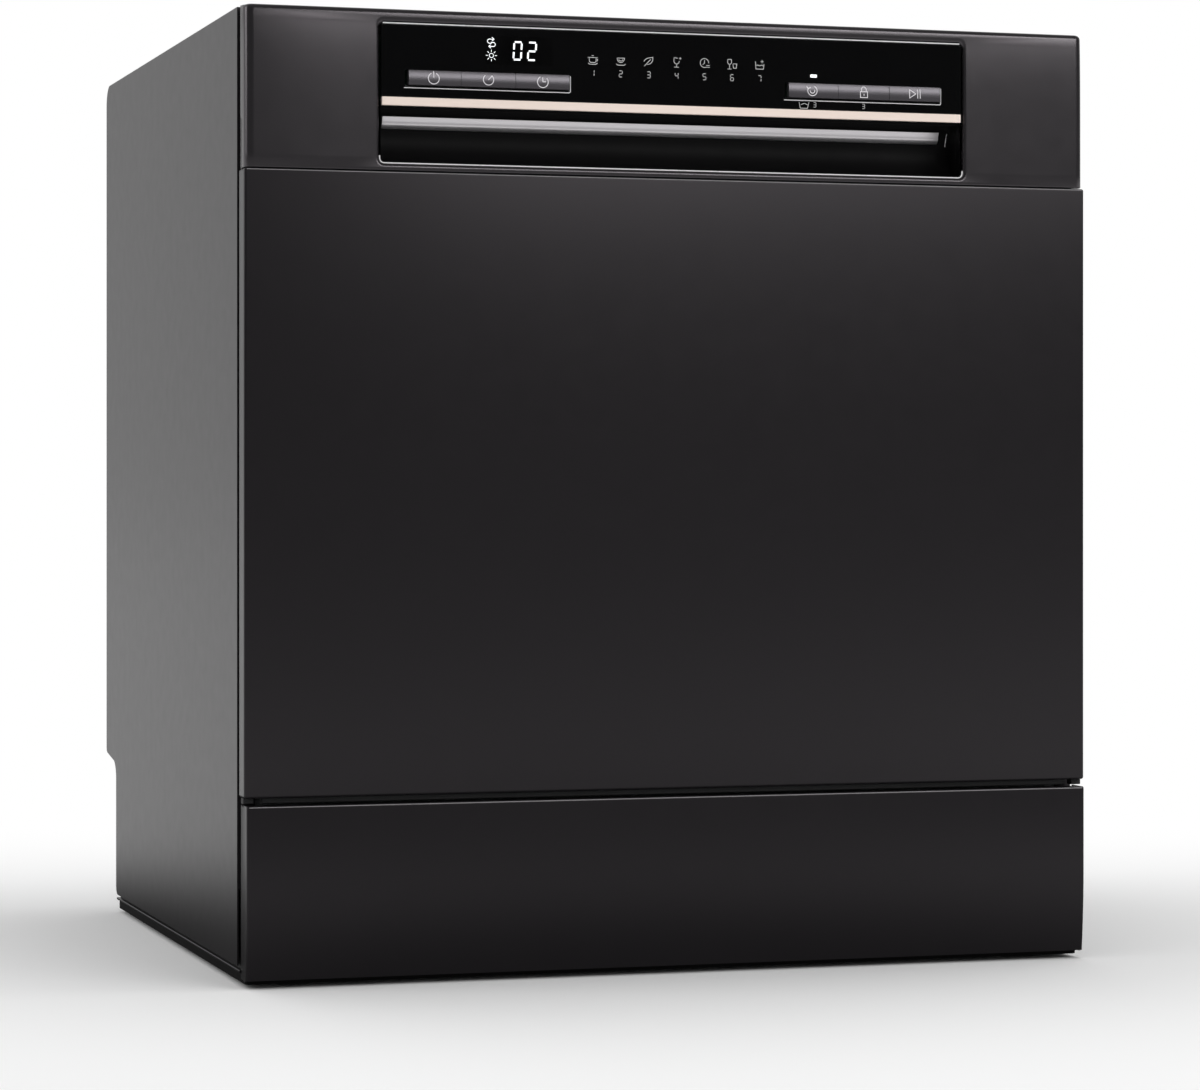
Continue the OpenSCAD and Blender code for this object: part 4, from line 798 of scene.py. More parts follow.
def soft_block(low, high, big, top, small):
    """A block with round upright edges in front, a tighter round along its top, and small ones elsewhere."""
    form = plain_box(low, high)
    front = [e for e in form.edges if all(v.co.y < low.y + small for v in e.verts)]
    upright = [e for e in front if abs(e.verts[0].co.z - e.verts[1].co.z) > small]
    bmesh.ops.bevel(form, geom=upright, offset=big, segments=ROUND_STEPS, profile=0.5, affect="EDGES")
    brow = [e for e in form.edges if all(v.co.z > high.z - small for v in e.verts)]
    brow = [e for e in brow if all(v.co.y < low.y + big + small for v in e.verts)]
    brow = [e for e in brow if any(v.co.y < low.y + big - small for v in e.verts)]
    bmesh.ops.bevel(form, geom=brow, offset=top, segments=ROUND_STEPS, profile=0.5, affect="EDGES")
    form.normal_update()
    sharp = [e for e in form.edges if len(e.link_faces) == 2 and e.calc_face_angle() > math.radians(60)]
    bmesh.ops.bevel(form, geom=sharp, offset=small, segments=2, profile=0.5, affect="EDGES")
    return as_mesh(form, "soft_block")


CROWN = 1.15 * MM
CROWN_CUTS = 12
CROWN_POWER = 5


def crown_face(piece):
    """Lets the moulding's face fall back a little towards its top, as a moulding does."""
    form = bmesh.new()
    form.from_mesh(piece.data)
    for k in range(1, CROWN_CUTS):
        z = fascia_low.z + (fascia_high.z - fascia_low.z) * k / CROWN_CUTS
        everything = form.verts[:] + form.edges[:] + form.faces[:]
        bmesh.ops.bisect_plane(form, geom=everything, plane_co=(0, 0, z), plane_no=(0, 0, 1), dist=1e-7)
    for spot in form.verts:
        if spot.co.y < fascia_low.y + FASCIA_ROUND:
            share = (spot.co.z - fascia_low.z) / (fascia_high.z - fascia_low.z)
            spot.co.y += CROWN * share**CROWN_POWER
    form.to_mesh(piece.data)
    form.free()
    piece.data.shade_smooth()
    piece.data.set_sharp_from_angle(angle=math.radians(35))


moulding = soft_block(fascia_low, fascia_high, FASCIA_ROUND, TOP_ROUND, EDGE_ROUND)
fascia = add_object("fascia_moulding", moulding, "fascia_graphite", "door")
hollow_outline = oblong(
    fascia_low.x + FASCIA_WALL,
    fascia_high.x - FASCIA_WALL,
    fascia_low.z + FASCIA_FOOT,
    fascia_high.z - FASCIA_WALL,
    HOLLOW_ROUND,
    6,
)
hollow = drawn_out(hollow_outline, "y", fascia_low.y + FASCIA_FRONT, fascia_high.y + CUT_PAST)
opening = flared_opening(OPEN_X, OPEN_LOW, OPEN_HIGH, OPEN_ROUND, RIM_FLARE, BROW_FLARE)
carve(fascia, [hollow, opening])
crown_face(fascia)
soften(fascia, EDGE_ROUND, 2, 50)
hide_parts("control_fascia")
print(fascia.name, "faces", len(fascia.data.polygons))

# %% [markdown]
# ## The window
# A black glossy pane fills the upper part of the opening, with one slot for each row of keys. It is drawn
# out from a rounded outline and the slots are cut with tighter corners. A fine pale rod runs under each
# slot and turns up at its right end: a painted highlight where the slot's edge catches the light. Two more
# pale rods paint the highlights along the rim of the opening, and a black rod paints the shade in the gap
# above the pane.

# %% Display window
window_low, window_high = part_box("display_window")
key_nodes = ("power_key", "program_key", "delay_key", "extra_key", "lock_key", "start_key")
key_boxes = {name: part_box(name) for name in key_nodes}
PANE_ROUND = 1.6 * MM
SLOT_GAP = 0.25 * MM
SLOT_ROUND = 0.6 * MM
SLOT_CUT = 3 * MM
PANE_EDGE = 0.25 * MM
BEAD_R = 0.34 * MM
BEAD_DROP = 1.35 * MM
BEAD_PAST = 0.8 * MM
BEAD_TURN = 0.9 * MM
BEAD_PROUD = 0.4


def slot_limits(names):
    """Left, right, low and high of the slot round a row of keys."""
    lows = [key_boxes[n][0] for n in names]
    highs = [key_boxes[n][1] for n in names]
    return (
        min(v.x for v in lows) - SLOT_GAP,
        max(v.x for v in highs) + SLOT_GAP,
        lows[0].z - SLOT_GAP,
        highs[0].z + SLOT_GAP,
    )


key_rows = [slot_limits(key_nodes[:3]), slot_limits(key_nodes[3:])]
pane_outline = oblong(window_low.x, window_high.x, window_low.z, window_high.z, PANE_ROUND, 6)
pane = drawn_out(pane_outline, "y", window_low.y, window_high.y)
window_pane = add_object("window_pane", pane, "black_glass", "door")
slot_cutters = []
for row in key_rows:
    slot_outline = oblong(*row, SLOT_ROUND, 6)
    slot_cutters.append(drawn_out(slot_outline, "y", window_low.y - SLOT_CUT, window_high.y + SLOT_CUT))
carve(window_pane, slot_cutters)
soften(window_pane, PANE_EDGE, 2)
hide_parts("display_window")


def rod(name, path, radius, slot_name, body):
    """A round wire along a path of points, as a curve turned into a mesh."""
    curve = bpy.data.curves.new(name, "CURVE")
    curve.dimensions = "3D"
    curve.bevel_depth = radius
    curve.bevel_resolution = 1
    curve.use_fill_caps = True
    spline = curve.splines.new("POLY")
    spline.points.add(len(path) - 1)
    for point, where in zip(spline.points, path):
        point.co = (*where, 1)
    holder = bpy.data.objects.new(name, curve)
    mesh = bpy.data.meshes.new_from_object(holder)
    bpy.data.objects.remove(holder)
    return add_object(name, mesh, slot_name, body, 60)


def slot_highlight_bead(name, row):
    """A painted highlight: the pale bead under a slot and up its right end."""
    left, right, low, high = row
    y = window_low.y - BEAD_R * BEAD_PROUD
    z = low - BEAD_DROP
    end, turn = right + BEAD_PAST, BEAD_TURN
    path = [(left - BEAD_PAST, y, z), (end - turn, y, z)]
    for k in range(1, 5):
        a = math.radians(-90 + 90 * k / 4)
        path.append((end - turn + turn * math.cos(a), y, z + turn + turn * math.sin(a)))
    path.append((end, y, high - BEAD_PAST))
    bead = rod(name, path, BEAD_R, "key_metal", "door")
    bead.data.materials[0] = finishes["highlight_paint"]


for name, row in zip(("left_slot_bead", "right_slot_bead"), key_rows):
    slot_highlight_bead(name, row)


def rim_highlight_bead(name, path, radius):
    """A painted highlight: a pale line along the rim of the opening, where its edge catches the light."""
    bead = rod(name, path, radius, "fascia_graphite", "door")
    bead.data.materials[0] = finishes["highlight_paint"]


def lip_path(y, reach):
    """Along the lower lip of the opening, turned up a little at both round corners."""
    x, z, r = OPEN_X - RIM_BEAD_R, OPEN_LOW + RIM_BEAD_R * LIP_BEAD_RISE, OPEN_ROUND
    half = [(x, y, z + r + reach)]
    for k in range(7):
        a = math.radians(-90 * k / 6)
        half.append((x - r + r * math.cos(a), y, z + r + r * math.sin(a)))
    return half + [(-px, py, pz) for px, py, pz in reversed(half)]


RIM_BEAD_R = 0.5 * MM
LIP_BEAD_RISE = 0.2
LIP_BEAD_Y = depth(1.7)
LIP_BEAD_REACH = 1.5 * MM
TOP_BEAD_END = OPEN_X - 2.5 * MM
TOP_BEAD_Y = depth(1.6)
TOP_BEAD_Z = OPEN_HIGH + 0.25 * MM
TOP_BEAD_R = 0.4 * MM
SHADE_RISE = 0.85 * MM
SHADE_R = 0.45 * MM
rim_highlight_bead("lip_bead", lip_path(LIP_BEAD_Y, LIP_BEAD_REACH), RIM_BEAD_R)
bead_path = [(side * TOP_BEAD_END, TOP_BEAD_Y, TOP_BEAD_Z) for side in (-1, 1)]
rim_highlight_bead("pane_bead", bead_path, TOP_BEAD_R)
# A black rod just above the pane paints the shade in the gap between the pane and the rim.
shade_path = [(side * TOP_BEAD_END, TOP_BEAD_Y, TOP_BEAD_Z + SHADE_RISE) for side in (-1, 1)]
rod("pane_shade_line", shade_path, SHADE_R, "pocket_black", "door")
print("window with", len(key_rows), "slots")

# %% [markdown]
# ## The keys
# Each row reads as one satin bar, cut into three keys by hairline gaps. A key is a length of bar whose
# front leans back towards its top, with a stem behind it and edges broken only enough to catch a glint.

# %% Keys
KEY_LEAN = 0.75 * MM
LEAN_FROM = 0.25
LEAN_STEPS = 14
KEY_NEAR = 0.09 * MM
KEY_SHORT = 1.5 * MM
KEY_BACK = depth(5)
KEY_EDGE = 0.12 * MM
STEM_HALF = 2 * MM
STEM_ROUND = 0.5 * MM
STEM_FROM = depth(4.5)
key_foot, key_head = key_boxes["power_key"][0].z, key_boxes["power_key"][1].z


def key_lean(z):
    """How far a key's front has leaned back at a height."""
    share = (z - key_foot) / (key_head - key_foot)
    return KEY_LEAN * max(0.0, (share - LEAN_FROM) / (1 - LEAN_FROM)) ** 2


def key_section(low, high):
    """Depth and height round a key: a leaning front and a flat back."""
    heights = [low.z + (high.z - low.z) * k / LEAN_STEPS for k in range(LEAN_STEPS + 1)]
    return [(low.y + key_lean(z), z) for z in heights] + [(KEY_BACK, high.z), (KEY_BACK, low.z)]


for name in key_nodes:
    low, high = key_boxes[name]
    section = key_section(low, high)
    first = name in (key_nodes[0], key_nodes[3])
    start_x = low.x + KEY_SHORT if first else low.x - KEY_NEAR
    form = drawn_out(section, "x", start_x, high.x + KEY_NEAR)
    bar = add_object(name + "_bar", form, "key_metal", name, 50)
    soften(bar, KEY_EDGE, 3, 60)
    middle = (low + high) / 2
    stem_outline = oblong(
        middle.x - STEM_HALF,
        middle.x + STEM_HALF,
        middle.z - STEM_HALF,
        middle.z + STEM_HALF,
        STEM_ROUND,
        6,
    )
    stem = drawn_out(stem_outline, "y", STEM_FROM, high.y)
    add_object(name + "_stem", stem, "key_metal", name)
    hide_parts(name)
print("keys:", len(key_nodes))

# %% [markdown]
# ## The metal strip
# The champagne strip is a drawn profile: flat, brushed along its length, with a fine chamfer that shows as a
# paler line along its upper edge.

# %% Trim strip
trim_low, trim_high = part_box("trim_strip")
TRIM_ROUND = 0.3 * MM
TRIM_EDGE = 0.45 * MM
trim_outline = oblong(trim_low.x, trim_high.x, trim_low.z, trim_high.z, TRIM_ROUND, 2)
strip = drawn_out(trim_outline, "y", trim_low.y, trim_high.y)
trim_bar = add_object("trim_bar", strip, "champagne_trim", "door")
soften(trim_bar, TRIM_EDGE, 2, 60)
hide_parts("trim_strip")
print("strip", round(trim_high.x - trim_low.x, 3), "m long")

# %% [markdown]
# ## The finger pocket
# Behind the lower half of the opening lies a moulded trough. Its floor comes in flat from the lip, rolls up
# the back and hooks forward behind the strip, where the fingers pull. Both ends are closed by a quarter
# round. The section is drawn once and swept along the width; near the ends it shrinks towards the mouth,
# which makes the round.

# %% Pocket shell
pocket_low, pocket_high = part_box("grip_pocket")
POCKET_R = 17.65 * MM
POCKET_FLOOR = 501.1 * MM
POCKET_BACK = depth(30)
POCKET_END = 190 * MM
END_ROUND = 9 * MM
HOOK_TOP = 540.2 * MM
HOOK_MIDDLE = depth(16.5)
HOOK_RISE = 1.2 * MM
MOUTH_TOP = 535.9 * MM
MOUTH_Y = depth(2.7)
FLOOR_Y = depth(7)
STRIP_Y = depth(3.6)
ROLL_TURN = 145
ROLL_STEPS, HOOK_STEPS = 24, 12


def pocket_section():
    """Depth and height of the trough's skin, from the lip round the back to the edge behind the strip."""
    centre = (POCKET_BACK - POCKET_R, POCKET_FLOOR + POCKET_R)
    points = [(MOUTH_Y, POCKET_FLOOR), (FLOOR_Y, POCKET_FLOOR)]
    for k in range(ROLL_STEPS + 1):
        a = math.radians(-90 + ROLL_TURN * k / ROLL_STEPS)
        points.append((centre[0] + POCKET_R * math.cos(a), centre[1] + POCKET_R * math.sin(a)))
    hook = (HOOK_MIDDLE, points[-1][1] + HOOK_RISE)
    reach = points[-1][0] - hook[0]
    for k in range(1, HOOK_STEPS + 1):
        a = math.radians(180 * k / HOOK_STEPS)
        points.append((hook[0] + reach * math.cos(a), hook[1] + (HOOK_TOP - hook[1]) * math.sin(a)))
    points.append((points[-1][0], MOUTH_TOP))
    points.append((STRIP_Y, MOUTH_TOP))
    return points


def drawn_in(y, share):
    """Depth of a point of the section where the end has rounded off all but a share of its radius."""
    keep = 1 - END_ROUND / (POCKET_BACK - MOUTH_Y) * (1 - share)
    return MOUTH_Y + (y - MOUTH_Y) * keep


def pocket_shell():
    """The swept skin with its round ends."""
    section = pocket_section()
    stations = []
    for k in range(11):
        a = math.radians(90 * k / 10)
        stations.append((POCKET_END - END_ROUND + END_ROUND * math.sin(a), math.cos(a)))
    stations = [(-x, s) for x, s in reversed(stations)] + stations
    form = bmesh.new()
    last = None
    for x, share in stations:
        ring = [form.verts.new((x, drawn_in(y, share), z)) for y, z in section]
        if last:
            stitch(form, last, ring, closed=False)
        last = ring
    for ring in (form.verts[: len(section)], last):
        form.faces.new(list(ring))
    bmesh.ops.triangulate(form, faces=[f for f in form.faces if len(f.verts) > 4])
    bmesh.ops.recalc_face_normals(form, faces=form.faces)
    return as_mesh(form, "grip_shell")


grip_shell = add_object("grip_shell", pocket_shell(), "pocket_black", "door", 40)
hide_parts("grip_pocket")
print(grip_shell.name, "faces", len(grip_shell.data.polygons))

# %% [markdown]
# A short bright line stands at the pocket's right end: a painted glint where the round end catches the
# light. It is a thin pale metal wire that follows the back of the section, drawn in with the round end.

# %% Painted glint at the pocket's end
RIB_X = 188.75 * MM
RIB_R = 0.3 * MM
RIB_LOW, RIB_HIGH = 521 * MM, 532 * MM
RIB_BEHIND = depth(18)
turn = math.asin((RIB_X - POCKET_END + END_ROUND) / END_ROUND)
back = [(y, z) for y, z in pocket_section() if y > RIB_BEHIND and RIB_LOW < z < RIB_HIGH]
glint_path = [(RIB_X, drawn_in(y, math.cos(turn)) - RIB_R / 2, z) for y, z in back]
end_glint = rod("pocket_glint_rod", glint_path, RIB_R, "pocket_black", "door")
end_glint.data.materials[0] = finishes["rail_metal"]
print("rib of", len(glint_path), "points")

# %% [markdown]
# A polished rail lines the hook and mirrors the pale ground below. Its face is hollow and rolls under at the
# foot, so that it reads as one bright line behind the strip.

# %% Grip rail
RAIL_END = 184 * MM
RAIL_TOP = 531.6 * MM
RAIL_FOOT = 528.4 * MM
RAIL_ROLL = 4.2 * MM
RAIL_FRONT, RAIL_SLOPE = 23.2, 1.2
RAIL_BACK = depth(30.5)
RAIL_EDGE = 0.8 * MM


def rail_section():
    """Depth and height round the rail: a hollow face that rolls under at its foot."""
    face = []
    for k in range(9):
        t = k / 8
        face.append((depth(RAIL_FRONT + RAIL_SLOPE * t), RAIL_TOP + (RAIL_FOOT - RAIL_TOP) * t))
    y, z = face[-1]
    for k in range(1, 8):
        a = math.radians(90 * k / 7)
        face.append((y + RAIL_ROLL * (1 - math.cos(a)), z - RAIL_ROLL * math.sin(a)))
    return face + [(RAIL_BACK, face[-1][1]), (RAIL_BACK, RAIL_TOP)]


rail_form = drawn_out(rail_section(), "x", -RAIL_END, RAIL_END)
rail = add_object("grip_rail", rail_form, "stainless", "door", 50)
rail.data.materials[0] = finishes["rail_metal"]
soften(rail, RAIL_EDGE, 4, 60)
print("pocket", [round(b - a, 3) for a, b in zip(pocket_low, pocket_high)])

# %% [markdown]
# ## Icons and digits
# The signs on the pane are printed, and the ones on the keys are engraved. Both are strokes of one width,
# so one helper lays a flat ribbon along a row of points, with mitred turns, and gives it the thickness of a
# film of ink. All of them are plain pictograms and digits.

# %% Stroke helper
INK = 0.03 * MM
STROKE = 0.39
INK_PROUD = 0.9
MARK_PROUD = 0.6
STROKE_CAP = 0.6
MITRE_LIMIT = 0.5
FOLLOW_STEP = 0.4


def arc(u, v, r, first, last, steps, squash=1.0):
    """Points along an arc in degrees about (u, v)."""
    points = []
    for k in range(steps + 1):
        a = math.radians(first + (last - first) * k / steps)
        points.append((u + r * math.cos(a), v + r * math.sin(a) * squash))
    return points


def ribbon(form, points, width, y, closed):
    """Adds a flat stroke along points in millimetres to a mesh, at one depth."""
    half = width / 2
    spots = [Vector(p) for p in points]
    count = len(spots)
    rows = []
    for i, here in enumerate(spots):
        into = (here - spots[i - 1]).normalized() if closed or i > 0 else None
        away = (spots[(i + 1) % count] - here).normalized() if closed or i < count - 1 else None
        if into is None:
            into = away
            here = here - away * half * STROKE_CAP
        if away is None:
            away = into
            here = here + into * half * STROKE_CAP
        along = (into + away).normalized() if (into + away).length > 0.01 else into
        side = Vector((-along.y, along.x))
        reach = half / max(MITRE_LIMIT, side.dot(Vector((-into.y, into.x))))
        rims = [here + side * s * reach for s in (1, -1)]
        rows.append([form.verts.new((rim.x * MM, y, rim.y * MM)) for rim in rims])
    for i in range(count if closed else count - 1):
        a, b = rows[i], rows[(i + 1) % count]
        form.faces.new((a[0], a[1], b[1], b[0]))


def finer(points, closed):
    """The same stroke with points close enough together to follow a curved face."""
    ends = list(points[1:]) + ([points[0]] if closed else [])
    row = [points[0]]
    for (u0, v0), (u1, v1) in zip(points, ends):
        cuts = max(1, math.ceil(math.dist((u0, v0), (u1, v1)) / FOLLOW_STEP))
        row += [(u0 + (u1 - u0) * k / cuts, v0 + (v1 - v0) * k / cuts) for k in range(1, cuts + 1)]
    return row[:-1] if closed else row


def ink(name, strokes, width, y, body, finish_name, at=(0, 0), lean=None):
    """A piece of print: strokes are (points, closed) pairs drawn about a middle, in millimetres."""
    form = bmesh.new()
    for points, closed in strokes:
        points = finer(points, closed) if lean else points
        ribbon(form, [(u + at[0], v + at[1]) for u, v in points], width, y, closed)
    if lean:
        for spot in form.verts:
            spot.co.y += lean(spot.co.z)
    bmesh.ops.recalc_face_normals(form, faces=form.faces)
    form.normal_update()
    wrong = [f for f in form.faces if f.normal.y > 0]
    bmesh.ops.reverse_faces(form, faces=wrong)
    piece = add_object(name, as_mesh(form, name), "white_plastic", body)
    piece.data.materials[0] = finishes[finish_name]
    film = piece.modifiers.new("film", "SOLIDIFY")
    film.thickness = INK


print("ink is", round(INK / MM, 3), "mm thick")

# %% [markdown]
# The digits and the two small icons beside them are lit from behind, so their finish gives off a little
# light. The other signs are plain grey print.

# %% Ink finishes
GLOW_CLOUD = 0.004
GLOW_SPREAD = (0.92, 1.06)


def glowing(name, colour, strength):
    """Light showing through clear print."""
    material = bpy.data.materials.new(name + "_finish")
    tree = new_tree(material)
    place = add_node(tree, "ShaderNodeTexCoord").outputs["Object"]
    cloud = spread(tree, grain(tree, place, GLOW_CLOUD), *GLOW_SPREAD)
    tint = add_node(tree, "ShaderNodeVectorMath", {0: colour, "Scale": cloud}, operation="SCALE").outputs[0]
    inputs = {"Base Color": tint, "Roughness": 0.4, "Emission Color": tint, "Emission Strength": strength}
    shader = add_node(tree, "ShaderNodeBsdfPrincipled", inputs)
    output = add_node(tree, "ShaderNodeOutputMaterial")
    tree.links.new(shader.outputs[0], output.inputs["Surface"])
    finishes[name] = material


glowing("lit_white", (0.92, 0.94, 0.96), 0.75)
finish("icon_grey", (0.62, 0.615, 0.62), 0.5, mottle=0.04, relief=0.000001, edge=0)
finish("key_mark", (0.80, 0.78, 0.81), 0.45, mottle=0.04, relief=0.000001, edge=0)
finish(
    "display_black",
    (0.0006, 0.0006, 0.0007),
    0.10,
    mottle=0.1,
    relief=0.0000003,
    gloss=0.02,
    edge=0,
)
print("all finishes:", len(finishes))

# %% [markdown]
# The display shows two digits. A digit is made of up to seven short strokes, each known by its letter, and
# leans a little to the right as such displays do.

# %% Display segments
PANE_Y = window_low.y - INK * INK_PROUD
LIT_Y = PANE_Y - 0.02 * MM
SEGMENTS = {
    "a": ((0.12, 1), (0.88, 1)),
    "b": ((1, 0.9), (1, 0.6)),
    "c": ((1, 0.4), (1, 0.1)),
    "d": ((0.12, 0), (0.88, 0)),
    "e": ((0, 0.4), (0, 0.1)),
    "f": ((0, 0.9), (0, 0.6)),
    "g": ((0.12, 0.5), (0.88, 0.5)),
}
DIGITS = {
    0: "abcdef",
    1: "bc",
    2: "abged",
    3: "abgcd",
    4: "fgbc",
    5: "afgcd",
    6: "afgedc",
    7: "abc",
    8: "abcdefg",
    9: "abcdfg",
}


def digit(value, u, v, width, height, lean=0.06):
    """Strokes of a seven-segment digit with its lower left corner at (u, v)."""
    strokes = []
    for letter in DIGITS[value]:
        ends = SEGMENTS[letter]
        strokes.append(([(u + width * a + lean * height * b, v + height * b) for a, b in ends], False))
    return strokes


GLASS_X = (-124.3, -81.4)
GLASS_Z = (563, 580.5)
GLASS_ROUND = 0.8
GLASS_PROUD = 0.012
GLASS_SUNK = 0.4
glass_outline = oblong(*[v * MM for v in (*GLASS_X, *GLASS_Z, GLASS_ROUND)], 6)
glass_form = drawn_out(glass_outline, "y", window_low.y - GLASS_PROUD * MM, window_low.y + GLASS_SUNK * MM)
display_glass = add_object("display_glass", glass_form, "black_glass", "door")
display_glass.data.materials[0] = finishes["display_black"]

DIGIT_X = (-106.6, -97.4)
DIGIT_Z = 566.4
DIGIT_SIZE = (4.8, 10.8)
DIGIT_STROKE = 1.1
shown = digit(0, DIGIT_X[0], DIGIT_Z, *DIGIT_SIZE) + digit(2, DIGIT_X[1], DIGIT_Z, *DIGIT_SIZE)
ink("display_digits", shown, DIGIT_STROKE, LIT_Y, "door", "lit_white")
print("digits of", DIGIT_SIZE[1], "mm")

# %% [markdown]
# Two small icons glow beside the digits when rinse aid or salt runs low: a sun and a swirl.

# %% Display icons
RAY_IN, RAY_OUT = 2.3, 3.5
SUN_R = 1.35
SUN_STROKE, SWIRL_STROKE = 0.34, 0.42
DISPLAY_ICON_X = -120.6
SUN_Z, SWIRL_Z = 568.4, 576.2
sun = [(arc(0, 0, SUN_R, 0, 360, 16)[:-1], True)]
for k in range(8):
    a = math.radians(45 * k)
    sun.append(([(r * math.cos(a), r * math.sin(a)) for r in (RAY_IN, RAY_OUT)], False))
ink("rinse_icon", sun, SUN_STROKE, LIT_Y, "door", "lit_white", at=(DISPLAY_ICON_X, SUN_Z))
swirl = [
    ([(1.2, 2.2)] + arc(-1.2, 1.0, 1.3, 70, 270, 8) + [(0.2, -0.3)], False),
    ([(-1.2, -2.2)] + arc(1.2, -1.0, 1.3, 250, 450, 8) + [(-0.2, 0.3)], False),
    ([(0.4, 3.3), (1.7, 2.2), (0.5, 1.2)], False),
    ([(-0.4, -3.3), (-1.7, -2.2), (-0.5, -1.2)], False),
]
ink("salt_icon", swirl, SWIRL_STROKE, LIT_Y, "door", "lit_white", at=(DISPLAY_ICON_X, SWIRL_Z))
print("icons beside the digits: 2")

# %% [markdown]
# The seven programmes have a pictogram each: a pot, a bowl, a leaf for the sparing one, a glass, a clock, a
# glass with a tumbler, and a basin. Under each stands its number.

# %% Programme icons
saucer = ([(-3.0, -2.3), (-2.0, -3.0), (2.0, -3.0), (3.0, -2.3)], False)
pot = [
    ([(-2.2, 1.2), (-2.2, -1.0), (-1.5, -1.9), (1.5, -1.9), (2.2, -1.0), (2.2, 1.2)], False),
    ([(-3.1, 1.2), (3.1, 1.2)], False),
    ([(-0.6, 2.3), (0.6, 2.3)], False),
    ([(2.3, 0.3), (3.2, 0.1), (3.0, -0.9), (2.2, -1.0)], False),
    saucer,
]
bowl = [
    (arc(0, 1.4, 2.4, 180, 360, 12, 1.15) + [(-2.4, 1.4)], False),
    (arc(0, 1.0, 1.4, 200, 340, 8), False),
    saucer,
]
leaf = [
    (arc(0.4, -1.8, 3.9, 155, 98, 8) + [(2.6, 2.6)] + arc(-0.9, 1.6, 3.5, 8, -92, 10), False),
    ([(-2.9, -3.0), (-0.6, -0.6), (1.2, 1.2)], False),
]
glass = [
    ([(-1.7, 2.9), (-1.9, 0.6), (-1.2, -0.7), (0.1, -1.1), (1.3, -0.4), (1.7, 0.8)], False),
    ([(-1.7, 2.9), (0.6, 2.6)], False),
    ([(0.1, -1.1), (-0.2, -3.0)], False),
    ([(-1.6, -3.0), (1.3, -3.0)], False),
    ([(2.3, 3.2), (2.3, 1.8)], False),
    ([(1.6, 2.5), (3.0, 2.5)], False),
]
clock = [
    (arc(0, 0.2, 2.8, 0, 290, 22), False),
    ([(0, 2.0), (0, 0.1), (-1.1, -0.8)], False),
    ([(1.2, -1.3), (3.4, -1.3)], False),
    ([(1.2, -2.4), (3.4, -2.4)], False),
]
pair = [
    ([(-2.9, 3.0), (-3.0, 1.0), (-2.3, 0.0), (-1.1, 0.0), (-0.4, 1.0), (-0.5, 3.0), (-2.9, 3.0)], False),
    ([(-1.7, 0.0), (-1.7, -3.0)], False),
    ([(-2.9, -3.0), (-0.5, -3.0)], False),
    ([(0.5, 0.3), (0.9, -2.4), (2.7, -2.4), (3.1, 0.3), (0.5, 0.3)], False),
]
basin = [
    ([(-3.0, 2.0), (-2.7, 2.0), (-2.5, -2.4), (2.5, -2.4), (2.9, 0.8)], False),
    ([(-2.5, -0.4), (-1.3, 0.2), (0, -0.5), (1.3, 0.2), (2.5, -0.4)], False),
    ([(1.6, 3.2), (1.6, 1.4)], False),
    ([(0.7, 2.3), (2.5, 2.3)], False),
]
PROGRAMMES = {
    "pot": pot,
    "bowl": bowl,
    "leaf": leaf,
    "glass": glass,
    "clock": clock,
    "pair": pair,
    "basin": basin,
}
ICON_Z = 568.2
LABEL_Z = 559.8
ICON_FIRST = -55.6
ICON_PITCH = 18.25
LABEL_LEFT, LABEL_DOWN = 1.1, 1.9
LABEL_SIZE = (2.0, 3.8)
LABEL_LEAN = 0.02
for number, (name, strokes) in enumerate(PROGRAMMES.items(), 1):
    x = ICON_FIRST + ICON_PITCH * (number - 1)
    ink(name + "_icon", strokes, STROKE, PANE_Y, "door", "icon_grey", at=(x, ICON_Z))
    label = digit(number, x - LABEL_LEFT, LABEL_Z - LABEL_DOWN, *LABEL_SIZE, LABEL_LEAN)
    ink("number_%d" % number, label, STROKE, PANE_Y, "door", "icon_grey")
print("programmes:", list(PROGRAMMES))

# %% [markdown]
# The six keys carry a mark each, engraved in a front that leans back. So the strokes are drawn flat, cut
# into short lengths and leaned back by the same rule as the key.

# %% Key marks
KEY_Y = key_boxes["power_key"][0].y - INK * MARK_PROUD
MARK_Z = (key_boxes["power_key"][0].z + key_boxes["power_key"][1].z) / 2 / MM
power = [(arc(0, -0.2, 2.3, 118, 422, 20), False), ([(0, 2.7), (0, 0.2)], False)]
dial = [(arc(0, 0, 2.2, 130, 410, 18), False), ([(0, 0), (1.6, 1.7)], False)]
timer = [(arc(0, -0.2, 2.3, 118, 400, 20), False), ([(0, 1.6), (0, -0.1), (1.2, -0.1)], False)]
again = [
    (arc(0, -0.1, 2.4, 150, 420, 18), False),
    (arc(0, -0.1, 1.2, 180, 380, 10), False),
    ([(-2.9, 1.9), (-2.1, 0.9), (-0.9, 1.5)], False),
]
lock = [
    ([(-1.7, 0.2), (1.7, 0.2), (1.7, -2.4), (-1.7, -2.4)], True),
    ([(-1.1, 0.2), (-1.1, 1.3)] + arc(0, 1.3, 1.1, 180, 0, 8) + [(1.1, 0.2)], False),
    ([(0, -0.8), (0, -1.5)], False),
]
start = [
    ([(-2.6, 1.9), (0.4, 0), (-2.6, -1.9)], True),
    ([(1.3, 2.0), (1.3, -2.0)], False),
    ([(2.5, 2.0), (2.5, -2.0)], False),
]
MARK_SIZES = (1.5, 1.5, 1.5, 1.3, 1.4, 1.4)
MARK_STROKE = 0.5


def sized(strokes, size):
    """The same strokes, larger or smaller."""
    return [([(u * size, v * size) for u, v in points], closed) for points, closed in strokes]


for name, strokes, size in zip(key_nodes, (power, dial, timer, again, lock, start), MARK_SIZES):
    low, high = key_boxes[name]
    at = ((low.x + high.x) / 2 / MM, MARK_Z)
    ink(name + "_mark", sized(strokes, size), MARK_STROKE, KEY_Y, name, "key_mark", at, key_lean)
print("marks on", len(MARK_SIZES), "keys")

# %% [markdown]
# A small lamp above the extra key glows like the digits. Under the keys stand a small sign and two digits
# in grey print, which tell for how many seconds a key is held.

